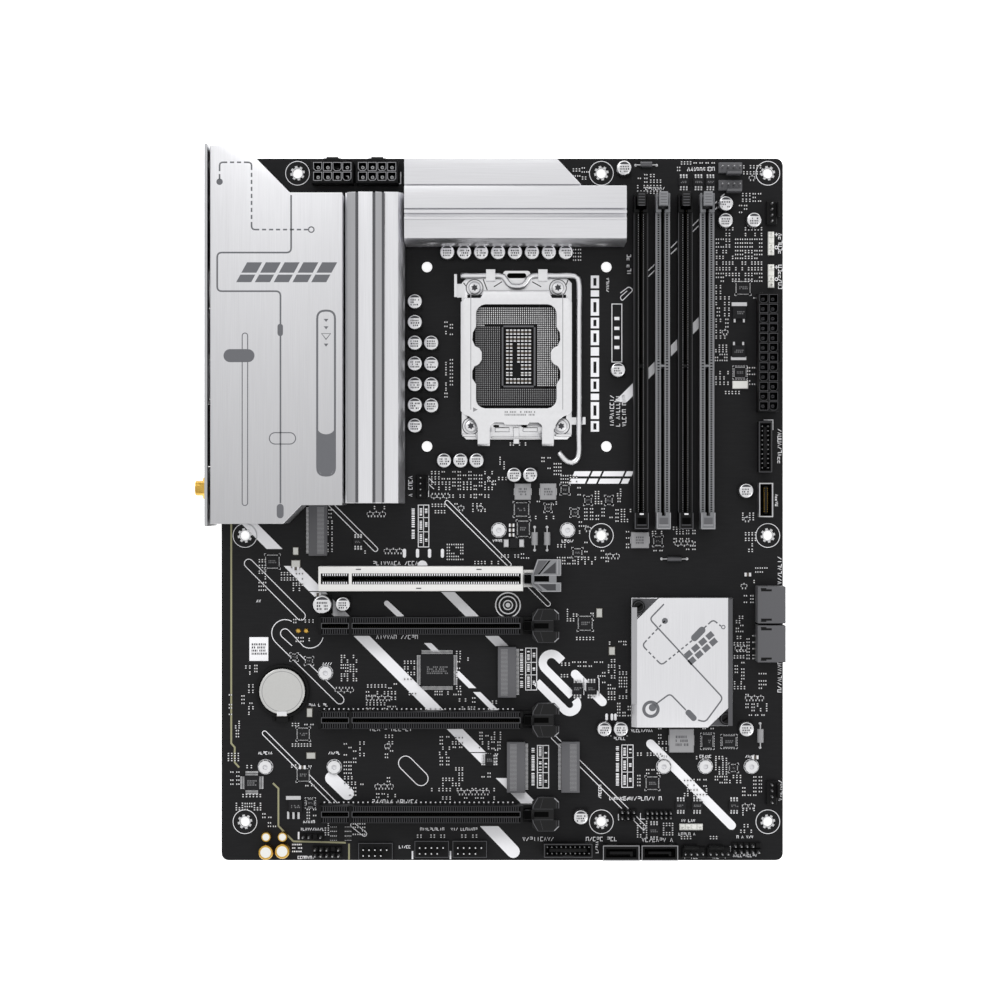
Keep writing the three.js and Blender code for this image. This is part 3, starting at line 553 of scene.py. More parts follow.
def mounting_rings(pads, silk):
    """The plated star of lobes on both faces and the printed ring round each screw hole."""
    for x, y in HOLES:
        for z in (BOARD_TOP, -0.12):
            ring(pads, x, y, 2.0, 2.45, z, z + 0.04, TIN, 32)
            for k in range(8):
                turn = 45 * k + 12
                px, py = turned_xy(x, y, 2.7, 0, turn)
                block(pads, px, py, 0.9, 1.1, z, z + 0.05, TIN, turn=turn)
        ring(silk, x, y, 5.05, 5.3, BOARD_TOP, BOARD_TOP + INK, SILK, 48)


def letters(piece, x, y, width, turn=0, tall=1.3):
    """Invented signs in a row, drawn with thin strokes, where the board carries printing."""
    signs = (
        ((0, 0), (0, 1), (1, 1), (1, 0)), ((0, 1), (0, 0), (1, 0)), ((0, 0), (0.5, 1), (1, 0)),
        ((1, 1), (0, 1), (0, 0), (1, 0)), ((0.5, 0), (0.5, 1)), ((0, 0), (1, 1)),
        ((0, 1), (0.5, 0), (1, 1)), ((0, 0.5), (1, 0.5), (1, 1), (0, 1)),
    )
    reach = -width / 2
    while reach < width / 2 - 0.4:
        sign, wide = draw.choice(signs), tall * 0.62
        if draw.random() < 0.9:
            spots = [turned_xy(x, y, reach + px * wide, (py - 0.5) * tall, turn) for px, py in sign]
            stroke(piece, spots, 0.26, BOARD_TOP, SILK)
        reach += wide + tall * 0.34


def marks(piece, x, y, width, rows=1, turn=0, finish=None, tall=0.75, z=BOARD_TOP, thick=INK):
    """Rows of short bars that stand for small printing."""
    for row in range(rows):
        reach = -width / 2
        up = ((rows - 1) / 2 - row) * tall * 1.5
        while reach < width / 2 - 0.3:
            step = draw.choice((0.45, 0.6, 0.8))
            if draw.random() < 0.86:
                px, py = turned_xy(x, y, reach + step / 2, up, turn)
                block(piece, px, py, step * 0.72, tall, z, z + thick, finish or SILK, turn=turn)
            reach += step + 0.12


def ink(piece, *points):
    """A filled outline in silkscreen ink."""
    prism(piece, list(points), BOARD_TOP, BOARD_TOP + INK, SILK)


def slant(piece, x, y0, y1, width):
    """A band that falls to the right at 45 degrees, cut level at its two ends. x is its left edge at y0."""
    fall = y0 - y1
    ink(piece, (x, y0), (x + width, y0), (x + width + fall, y1), (x + fall, y1))


def table_box(piece, x0, y0, x1, y1, breaks):
    """A printed table of upright columns with small entries."""
    z = BOARD_TOP
    middle = (x0 + x1) / 2
    stroke(piece, [(x0, y0), (x1, y0), (x1, y1), (x0, y1)], FINE, z, SILK, closed=True)
    stroke(piece, [(middle, y0), (middle, y1)], FINE * 0.8, z, SILK)
    levels = [y0] + [y0 + (y1 - y0) * part for part in breaks] + [y1]
    for low, high in zip(levels, levels[1:]):
        if low > y0:
            stroke(piece, [(x0, low), (x1, low)], FINE * 0.8, z, SILK)
        for column, share in (((x0 + middle) / 2, 0.7), ((middle + x1) / 2, 0.3)):
            marks(piece, column, (low + high) / 2, (high - low) * share, turn=90, tall=1.1)


def bands(silk):
    """The broad slanting bands, worked out from where each starts, and the two round-ended bars."""
    for start, x, stops in (
        (-3.3, -116.3, [(-3.3, -17.2), (-24.6, -35.5), (-35.9, -46.8), (-55, -87.7),
                    (-95.5, -105.5), (-105.9, -110.3), (-116.8, -129.2)]),
        (-35.9, -26.5, [(-35.9, -46.8), (-55, -59.4)]),
    ):
        width = 6.9 if x < -100 else 5.8
        for high, low in stops:
            slant(silk, x + start - high, high, low, width)
    z = BOARD_TOP
    capsule(silk, -50.2, -40.8, -43.8, -46.8, 1.15, z, SILK)
    for x, y0, y1 in ((-34, -58.1, -62), (-21.9, -70.3, -77.7), (-12.7, -79.4, -87.7)):
        slant(silk, x, y0, y1, 3.2)
    capsule(silk, -74.2, -116.8, -67.3, -123.5, 2.8, z, SILK)
    capsule(silk, 64.5, -101.9, 99.7, -137.4, 1.9, z, SILK)
    end = 4.8, -148.7
    tail = arc(end[0], end[1], 2.85, -135, 45)
    prism(silk, [(-9.7, -137.7), (-1.7, -137.7)][::-1] + tail, z, z + INK, SILK)


def hooked_loops(silk):
    """The broad double hook beside the chipset and the fine double hook beside the battery."""
    z = BOARD_TOP
    top, low = (21.4, -66.6), (29.4, -84.9)
    broad = arc(*top, 3.8, 45, 225, 12)
    stroke(silk, [(26.1, -65.9)] + broad + [(30.3, -81)], 3.55, z, SILK)
    capsule(silk, 31.7, -71.6, 43.6, -83.7, 1.85, z, SILK)
    stroke(silk, [(15, -75)] + arc(*low, 3.2, 225, 405, 12), 3.5, z, SILK)
    big, small, right = (-94.4, -53.7), (-94.4, -53.9), (-83.6, -54.5)
    end = -70.6, -82.8
    line = arc(*big, 5.8, 60, 225, 16) + arc(*end, 1.8, 225, 405, 8) + [(-85.3, -65.8), (-88.1, -63)]
    stroke(silk, line, FINE, z, SILK)
    stroke(silk, [(-91.4, -59.3)] + arc(*small, 2.0, 225, 45, 10) + [(-86.4, -59.5)]
           + arc(*right, 5.8, -118, -12, 10), FINE, z, SILK)


def fine_loops(silk):
    """Thin outlines with round ends."""
    z = BOARD_TOP
    for x0, y0, x1, y1, radius in (
        (-110.2, -23.5, -87.5, -46.3, 1.9), (-103.3, -97.3, -72.7, -128, 1.0),
        (-64.9, -137.2, -59.9, -141.1, 1.0), (-74.4, 2, -55.1, -17.3, 1.0), (-24, 3, 3, -24, 0.9),
        (12.1, -33.3, 19.9, -41.1, 1.0), (22.3, -99, 61.5, -138.1, 1.0), (-42, -110.3, -35.3, -117, 3.1),
    ):
        loop(silk, x0, y0, x1, y1, radius, z, SILK, FINE)
    stroke(silk, rounded([(51.4, 94.1), (55.1, 96.9), (56.9, 95.4), (52.1, 90.6), (51.2, 92.3),
                          (54.3, 95)], 0.8), FINE, z, SILK)


def tables(silk):
    """Printed tables of settings beside the connectors."""
    for x0, y0, x1, y1, breaks in (
        (-36.5, -16.3, -31.9, 1.9, (0.36, 0.7)), (52, -120.8, 56.9, -102.4, (0.36, 0.7)),
        (15.3, -121.1, 20.2, -102.6, (0.36, 0.7)), (10.2, -78.5, 15, -60.3, (0.36, 0.66)),
    ):
        table_box(silk, x0, y0, x1, y1, breaks)
    for x, y, length in ((-38.7, -7.2, 15), (50.1, -111.6, 17), (13.4, -111.6, 17), (8.4, -69, 17)):
        marks(silk, x, y, length, turn=90, tall=1.3)
    x0, y0, x1, y1 = 47.7, 64.1, 52, 89.3
    stroke(silk, [(x0, y0), (x1, y0), (x1, y1), (x0, y1)], FINE, BOARD_TOP, SILK, closed=True)
    for part in (0.25, 0.42, 0.58, 0.75):
        block(silk, (x0 + x1) / 2, y0 + (y1 - y0) * part, 2.2, 1.4, BOARD_TOP, BOARD_TOP + INK, SILK)


def memory_ticks(silk):
    """Short slanting ticks and blocks that step down between the memory slots."""
    z = BOARD_TOP
    for x0, y0, x1, y1 in (
        (63.5, 103.8, 66.5, 106.7), (63.5, 101.2, 66.5, 104.1), (73.3, 113.7, 76.1, 116.5),
        (73.3, 111, 76.1, 113.7), (82.8, 123.3, 85.6, 126.2), (82.8, 120.7, 85.6, 123.5),
        (92.6, 133.1, 96.6, 137.2), (92.6, 130.4, 93.9, 131.8),
    ):
        stroke(silk, [(x0, y0), (x1, y1)], 0.45, z, SILK)
    for x0, x1, y0, y1 in ((63.6, 66.5, 64.5, 56.7), (73.3, 76.1, 74.1, 66.5),
                           (82.9, 85.6, 83.8, 76.1)):
        rise = x1 - x0
        ink(silk, (x0, y1), (x1, y1 + rise), (x1, y0), (x0, y0 - rise))
    ink(silk, (48.6, 46.7), (56.9, 55), (56.9, 49.4), (54.2, 46.7))


def generic_emblems(silk):
    """Plain bars where a maker would print a name."""
    z = BOARD_TOP
    x, y = 40.3, 33.2
    for k, length in enumerate((5, 8, 3, 6, 9, 4, 7, 5, 8, 3, 6)):
        low = y + 0.6 + sum((5, 8, 3, 6, 9, 4, 7, 5, 8, 3, 6)[:k]) * 0.92 + k * 0.9
        block(silk, x, low + length * 0.46, 3.6, length * 0.92, z, z + INK, SILK)
        if length > 4:
            block(silk, x, low + length * 0.46, 1.3, length * 0.55, z + INK, z + 2 * INK, MASK)
    x, y = 41.9, 13.9
    for k, width in enumerate((7, 4, 9, 3)):
        left = x - 12.2 + sum((7, 4, 9, 3)[:k]) + k * 0.9
        for row in (-1.6, 1.6):
            ink(silk, (left + row * 0.5, y + row - 1.1), (left + width + row * 0.5, y + row - 1.1),
                (left + width + 1 + row * 0.5, y + row + 1.1), (left + 1 + row * 0.5, y + row + 1.1))
    x, y = 2.5, -41.6
    for radius in (2.2, 4.0, 5.6):
        ring(silk, x, y, radius - 0.5, radius, z, z + INK, SILK)
    disc(silk, x, y, 1.0, z, SILK)
    x, y = -105.8, -60.7
    block(silk, x, y, 8.2, 10.3, z, z + INK, SILK)
    marks(silk, x, y, 6.4, 4, finish=CAN_MARK, z=z + INK, tall=0.9)


def small_labels(silk):
    """Short runs of print beside the connectors, as places, widths and turns."""
    level = (
        (-46.6, -23.4, 19), (-45.7, -55.5, 18), (-80.1, -85, 8), (-47, -127, 19), (-82.7, -139, 10),
        (-30.6, -139, 12), (-16.2, -139, 12), (16, -143.3, 14), (43, -143.3, 13), (67.3, -143.7, 13),
        (-42.3, -146.7, 5), (-85.3, -151.3, 7), (-76.6, -67.1, 5), (-103, -105.9, 6), (-73, -105.9, 5),
        (-1.6, -13.7, 5), (28.5, -13.7, 5), (70.2, -107.4, 4.5), (88.4, -107.4, 5), (108.3, -107.4, 5),
        (51.2, -125.7, 9), (60.3, -125.7, 18), (106, -142.4, 8), (-48.3, -95.5, 18), (82.5, -151.3, 7),
        (93.8, -151.3, 7), (-84, -135.8, 5), (106.4, -150.5, 12), (80.8, -135.3, 6), (80.8, -141.1, 8),
        (60.1, -96.2, 10), (-105.8, -39.8, 2), (51, -99.6, 5), (86, 148, 14), (66.4, 139.5, 8),
    )
    for x, y, width in level:
        letters(silk, x, y, width, tall=1.6 if width > 12 else 1.1)
    upright = (
        (-39.9, 10.2, 9), (120.6, -25.9, 13), (120.6, -72.9, 13), (120.9, -122, 9), (119.3, 4.1, 5),
        (120.6, 27.6, 15), (55.1, 108.4, 12.5), (45.8, 97.6, 6), (120.9, 116, 9.5), (120.9, 101, 10),
        (42.5, -122, 7), (47.7, 43.2, 14), (50.3, 43.2, 14), (53, 43.2, 14), (41.2, -146.8, 5),
    )
    for x, y, width in upright:
        letters(silk, x, y, width, turn=90, tall=1.6 if width > 8 else 1.1)
    for x, y in ((119.2, 119.5), (119.2, 105.3)):
        for wide, tall in ((1.5, 0.4), (0.4, 1.5)):
            block(silk, x, y, wide, tall, BOARD_TOP, BOARD_TOP + 2 * INK, SILK)
    for x, y in ((119.2, 113.9), (119.2, 100.1)):
        ring(silk, x, y, 0.45, 0.8, BOARD_TOP, BOARD_TOP + INK, SILK)
    for row in range(3):
        marks(silk, -89.2, -145.7 - row * 1.5, 4.4, tall=0.6)


def audio_guard(line):
    """The bare line that fences off the sound circuits."""
    z = BOARD_TOP
    left = [(-117.8, -6.3), (-117.8, -101.7), (-116.3, -103.4), (-116.3, -110), (-114.3, -112.2)]
    right = [(-99.7, -119), (-97.3, -121.3), (-97.3, -137.6), (-90.8, -144.3), (-68, -144.9)]
    for points in (left, right, [(-66.6, -145.3), (-66.6, -152.4)]):
        stroke(line, points, 0.75, z, COPPER_TONE)


def connector_corners(silk):
    """Printed corners and bars that mark pin 1."""
    z = BOARD_TOP
    for points in (
        [(-68.6, 141.5), (-64, 141.5)], [(-49.2, 141.6), (-44.1, 141.6), (-44.1, 146.7)],
        [(-32, 14.5), (-32, 5.4)], [(-32, 13.7), (-29.7, 11.5)], [(-32, 11), (-29.7, 8.9)],
        [(-82.2, -149), (-82.2, -151.1), (-78.8, -151.1)], [(50.5, -132.4), (50.5, -135), (53.4, -135)],
        [(60.1, -132), (60.1, -134.6), (62.5, -134.6)], [(113.7, 38.9), (117.7, 38.9), (117.7, 34.5)],
        [(35.5, -73.1), (35.5, -80.7)], [(41.5, -72.9), (42.1, -73.7), (42.1, -81.1)],
    ):
        stroke(silk, points, FINE, z, SILK)
    for x, y, tall in ((-39, -150.3, 3.6), (-22.5, -150.3, 3.6), (-88.5, -141.8, 3.2), (99, -147.7, 2.6)):
        block(silk, x, y, 0.7, tall, z, z + INK, SILK)
    for x in (-42.5, -36.8, -31.6, -26):
        capsule(silk, x, -17.8, x, -20.3, 0.7, z, SILK)
    prism(silk, arc(-34.7, -24.4, 2.2, 0, 180, 12), z, z + INK, SILK)
    for x in (45.4, 47.7, 49.2):
        capsule(silk, x, -89.3, x, -91.2, 0.55, z, SILK)


def board_art():
    """Everything printed or plated on the bare board."""
    silk = Piece("silkscreen_art")
    pads = Piece("mounting_hole_pads")
    guard = Piece("audio_guard_line")
    mounting_rings(pads, silk)
    bands(silk)
    hooked_loops(silk)
    fine_loops(silk)
    tables(silk)
    memory_ticks(silk)
    generic_emblems(silk)
    small_labels(silk)
    connector_corners(silk)
    audio_guard(guard)
    for piece in (silk, pads, guard):
        piece.make()


# ---------------------------------------------------------------- electronic parts


def polymer_cap(piece, x, y, radius=3.15, height=8.0):
    """A can capacitor: square foot, waisted can with a rounded rim, polarity segment and date bars."""
    z = SEAT
    w = radius + 0.15
    foot = [(x - w, y - w * 0.6), (x - w * 0.6, y - w), (x + w, y - w), (x + w, y + w),
            (x - w * 0.6, y + w), (x - w, y + w * 0.6)]
    prism(piece, foot, z, z + 0.7, BLACK)
    r, top = radius, z + height
    lathe(piece, x, y, [(r * 0.95, z + 0.7), (r, z + 1.0), (r, z + 1.5), (r * 0.94, z + 1.9), (r, z + 2.3),
                        (r, top - 0.5), (r * 0.96, top - 0.15), (r * 0.9, top)], CAN, sides=28)
    segment = arc(x, y, r * 0.84, 38, 142, 10)
    prism(piece, segment, top, top + INK, CAN_MARK)
    marks(piece, x, y - r * 0.14, r * 1.2, 3, finish=CAN_MARK, tall=r * 0.22, z=top)


def audio_cap(piece, x, y, radius, height):
    """A gold sleeved can with a pale top."""
    z, top = SEAT, SEAT + height
    lathe(piece, x, y, [(radius, z), (radius, z + 0.8), (radius * 0.93, z + 1.2), (radius, z + 1.6),
                        (radius, top - 0.4), (radius * 0.93, top)], GOLD, sides=28)
    lathe(piece, x, y, [(radius * 0.72, top), (radius * 0.7, top + 0.08)], WHITE_PLASTIC, sides=24)


def choke(piece, x, y, width, length, height=3.4):
    """A moulded power inductor with its two end terminals."""
    block(piece, x, y, width, length, SEAT + 0.1, SEAT + height, FERRITE, chamfer=0.25)
    for side in (-1, 1):
        block(piece, x + side * width / 2, y, 0.5, length * 0.42, SEAT, SEAT + height * 0.6, TIN)
    marks(piece, x, y, width * 0.5, 3, finish=DARK_METAL_AND_PAINTED_LIGHT, tall=length * 0.11, z=SEAT + height)


def wire_diode(piece, x0, y0, x1, y1, finish=None):
    """A glass or metal barrel on two wire leads that bend down into the board."""
    radius = 1.4
    z = SEAT + radius
    length = math.hypot(x1 - x0, y1 - y0)
    ux, uy = (x1 - x0) / length, (y1 - y0) / length
    near, far = 0.22 * length, 0.78 * length
    a, b = (x0 + ux * near, y0 + uy * near, z), (x0 + ux * far, y0 + uy * far, z)
    bar(piece, a, b, radius, finish or FERRITE, 20)
    for end, barrel in (((x0, y0, z), a), ((x1, y1, z), b)):
        bar(piece, end, barrel, 0.28, TIN)
        bar(piece, (end[0], end[1], BOARD_TOP), (end[0], end[1], z + 0.2), 0.28, TIN)
        ring(piece, end[0], end[1], 0.3, 0.6, BOARD_TOP, BOARD_TOP + 0.05, TIN, 16)


def smd(piece, x, y, length, width, turn, body):
    """A small ceramic or resistor chip with a soldered terminal at each end."""
    z = SEAT
    tall = width * 0.8 if body is CERAMIC else width * 0.5
    block(piece, x, y, length * 0.62, width, z, z + tall, body, turn=turn)
    for side in (-1, 1):
        px, py = turned_xy(x, y, side * length * 0.41, 0, turn)
        block(piece, px, py, length * 0.36, width * 1.12, BOARD_TOP, z + tall + 0.04, SOLDER, turn=turn)


def field(piece, x0, y0, x1, y1, fill):
    """Small chips in short groups over a rectangle. Each group shares one direction."""
    length, width = 1.15, 0.5
    cell = 4.6
    columns = max(1, round((x1 - x0) / cell))
    rows = max(1, round((y1 - y0) / cell))
    for i in range(columns):
        for j in range(rows):
            wide, tall = (x1 - x0) / columns, (y1 - y0) / rows
            upright = draw.random() < 0.62
            step_x, step_y = (1.4, 2.25) if upright else (2.25, 1.4)
            across, along = max(1, int(wide / step_x + 0.3)), max(1, int(tall / step_y + 0.3))
            if draw.random() < 0.08:
                continue
            for a in range(across):
                for b in range(along):
                    if draw.random() > fill * 0.95:
                        continue
                    x = x0 + i * wide + (a + 0.5) * wide / across
                    y = y0 + j * tall + (b + 0.5) * tall / along
                    smd(piece, x, y, length, width, 90 if upright else 0,
                        draw.choice((CERAMIC, RESISTOR, RESISTOR)))


def sot(piece, silk, x, y, flip):
    """A three-legged transistor with its printed outline."""
    block(piece, x, y, 1.9, 1.1, SEAT + 0.1, SEAT + 0.95, EPOXY, chamfer=0.12)
    for dx, side in ((-0.65, -1), (0.65, -1), (0, 1)):
        block(piece, x + dx, y + side * flip * 0.95, 0.45, 0.8, BOARD_TOP, SEAT + 0.3, TIN)
    for side in (-1, 1):
        stroke(silk, [(x + side * 1.25, y - 0.5 * flip), (x + side * 1.25, y + 0.5 * flip),
                      (x + side * 0.6, y + 0.8 * flip)], 0.2, BOARD_TOP, SILK)


def sot_row(piece, silk, x, y, count, flip):
    """Transistors side by side."""
    for k in range(count):
        sot(piece, silk, x + k * 2.75, y, flip)


def leg_row(piece, x, y, count, pitch, turn, reach, width, tall):
    """Gull-wing legs along one side of a chip. The side faces the turned +X direction."""
    for k in range(count):
        along = (k - (count - 1) / 2) * pitch
        px, py = turned_xy(x, y, reach * 0.3, along, turn)
        block(piece, px, py, reach * 0.6, width, SEAT + tall * 0.45, SEAT + tall * 0.6, TIN, turn=turn)
        px, py = turned_xy(x, y, reach * 0.75, along, turn)
        block(piece, px, py, reach * 0.6, width, BOARD_TOP, SEAT + 0.18, SOLDER, turn=turn)
        px, py = turned_xy(x, y, reach * 0.52, along, turn)
        block(piece, px, py, reach * 0.14, width, SEAT + 0.1, SEAT + tall * 0.6, TIN, turn=turn)


def chip(piece, x, y, width, length, sides=(), tall=1.0, pitch=0.5, reach=1.0, print_rows=2):
    """A moulded package with legs on the named sides, a pin-1 dimple and rows of generic print."""
    block(piece, x, y, width, length, SEAT + 0.1, SEAT + tall, EPOXY, chamfer=0.14)
    top = SEAT + tall
    for side in sides:
        turn = {"e": 0, "n": 90, "w": 180, "s": 270}[side]
        span, far = (length, width / 2) if side in "ew" else (width, length / 2)
        px, py = turned_xy(x, y, far, 0, turn)
        leg_row(piece, px, py, max(2, round((span - 0.9) / pitch)), pitch, turn, reach, pitch * 0.52, tall)
    lathe(piece, x - width / 2 + 0.9, y - length / 2 + 0.9, [(0.32, top), (0.32, top + 0.015)],
          GLOSS_BLACK, 12)
    if print_rows:
        marks(piece, x, y, width * 0.62, print_rows, finish=EPOXY_PRINT, tall=min(0.6, length * 0.1), z=top,
              thick=0.01)


def flat_chip(piece, silk, x, y, width, length, dashed=False):
    """A leadless package with pads round its foot and a printed corner frame."""
    z = BOARD_TOP
    for along, across, turn in ((width, length, 0), (length, width, 90)):
        count = max(2, round((along - 0.6) / 0.55))
        for k in range(count):
            for side in (-1, 1):
                px, py = turned_xy(x, y, (k - (count - 1) / 2) * 0.55, side * (across / 2 + 0.12), turn)
                block(piece, px, py, 0.28, 0.62, z, z + 0.09, SOLDER, turn=turn)
    chip(piece, x, y, width, length, tall=0.85)
    w, l = width / 2 + 0.8, length / 2 + 0.8
    corners = [(x - w, y - l), (x + w, y - l), (x + w, y + l), (x - w, y + l)]
    if dashed:
        dashes(silk, corners + corners[:1], 0.16, z, SILK, dash=0.6, gap=0.5)
    else:
        for px, py in corners:
            sx, sy = (1 if px < x else -1), (1 if py < y else -1)
            stroke(silk, [(px + sx * 0.8, py), (px, py), (px, py + sy * 0.8)], 0.13, z, SILK)


def crystal(piece, x, y, width, length):
    """A metal-lidded oscillator can."""
    block(piece, x, y, width, length, SEAT, SEAT + 0.4, CERAMIC)
    block(piece, x, y, width * 0.9, length * 0.9, SEAT + 0.4, SEAT + 1.1, CRYSTAL, chamfer=0.15)


def pin(piece, x, y, z0, z1, size=0.64, finish=None):
    """A square pin with a pointed tip."""
    h, tip = size / 2, size * 0.28
    rings = [[(x - a, y - a, z), (x + a, y - a, z), (x + a, y + a, z), (x - a, y + a, z)]
             for a, z in ((h, z0), (h, z1 - 0.5), (tip, z1))]
    loft(piece, rings, finish or GOLD)


def pin_field(piece, x, y, columns, rows, pitch=PITCH, missing=()):
    """An open pin header: a ribbed base and rows of pins, centred on a point."""
    wide, tip = pitch * 0.94, 10.2
    for i in range(columns):
        for j in range(rows):
            px, py = x + (i - (columns - 1) / 2) * pitch, y + (j - (rows - 1) / 2) * pitch
            block(piece, px, py, wide, wide, SEAT, SEAT + 2.5, BLACK, chamfer=0.35)
            if (i, j) not in missing:
                pin(piece, px, py, SEAT + 2, tip, finish=TIN)


def fan_header(piece, x, y, turn=0, finish=None):
    """A four-pin fan header with its guide wall on the turned +Y side."""
    body = finish or BLACK
    block(piece, x, y, 10.2, 4.6, SEAT, SEAT + 3.2, body, turn=turn, chamfer=0.3)
    px, py = turned_xy(x, y, -1.3, 2.6, turn)
    block(piece, px, py, 6.2, 1.1, SEAT, SEAT + 9.2, body, turn=turn, chamfer=0.2)
    for k in range(4):
        px, py = turned_xy(x, y, (k - 1.5) * PITCH, -0.2, turn)
        pin(piece, px, py, SEAT + 3, SEAT + 9.4, finish=TIN)


def led_header(piece, x, y, turn=0):
    """A white lighting header: scalloped body with three pins and a blank."""
    for k in range(4):
        px, py = turned_xy(x, y, (k - 1.5) * PITCH, 0, turn)
        block(piece, px, py, PITCH * 0.97, 2.6, SEAT, SEAT + 2.6, WHITE_PLASTIC, turn=turn, chamfer=0.4)
        if k != 2:
            pin(piece, px, py, SEAT + 2, SEAT + 8.4, finish=WHITE_PLASTIC)


def standoff(piece, x, y):
    """A round nut soldered to the board, threaded for a card screw."""
    z = SEAT
    lathe(piece, x, y, [(3.05, BOARD_TOP), (3.05, z + 0.12)], DARK_METAL_AND_PAINTED_LIGHT, 32)
    for inner, outer, z0, z1 in ((1.05, 2.75, z + 0.1, z + 2.2), (1.05, 2.2, z + 2.2, z + 2.5)):
        ring(piece, x, y, inner, outer, z0, z1, STEEL, 32)
    lathe(piece, x, y, [(1.0, z), (1.0, z + 1.4)], SILK, 16)
    for k in range(10):
        a = math.radians(36 * k)
        block(piece, x + 2.95 * math.cos(a), y + 2.95 * math.sin(a), 0.3, 0.5, z, z + 1.1, TIN, turn=36 * k)


def capacitors():
    """Can capacitors over the board and in the sound corner."""
    cans = Piece("polymer_capacitors")
    for x, y in TOP_CANS + SIDE_CANS:
        polymer_cap(cans, x, y)
    for y in (72.1, 63, 54.1, 45):
        polymer_cap(cans, -30.7, y)
    for x, y in ((-25.2, 21.2), (-18.1, 21.2), (-11.1, 21.2), (5.1, 15), (12.1, 15), (50.1, 60.4),
                 (52.7, 147.6), (96.7, 132.3), (96.6, 125), (108.9, 125.2), (105.5, 8.1), (105.6, -95),
                 (44.2, -95), (51.3, -95), (34, -133.1), (-68.9, -41)):
        polymer_cap(cans, x, y)
    polymer_cap(cans, -77.8, -41.1, 4.0, 9.2)
    cans.make()
    gold = Piece("audio_capacitors")
    for x, y, radius, height in ((-102.3, -141.9, 2.1, 5.4), (-95.2, -141.9, 2.1, 5.4),
                                 (-102.3, -148.4, 3.2, 7.2), (-95.2, -147.9, 3.2, 7.2)):
        audio_cap(gold, x, y, radius, height)
    gold.make()


def chokes_and_diodes():
    """Power inductors and wire-ended diodes."""
    chokes = Piece("power_chokes")
    for x, y in ((8.9, 7.7), (19.9, 7.7)):
        choke(chokes, x, y, 7.1, 7.1)
    choke(chokes, 59.8, -13.3, 7.8, 7.0)
    choke(chokes, 77.7, -100.2, 10.6, 10.2, 5.0)
    chokes.make()
    diodes = Piece("wire_diodes")
    wire_diode(diodes, 58, 149.6, 67.1, 149.6, finish=DARK_METAL_AND_PAINTED_LIGHT)
    wire_diode(diodes, 69.3, -21.5, 80.3, -21.5, finish=DARK_METAL_AND_PAINTED_LIGHT)
    for x in (14.1, 19.5):
        wire_diode(diodes, x, -7.7, x, -17.7)
    wire_diode(diodes, 112.1, -93.1, 112.1, -103.5)
    diodes.make()


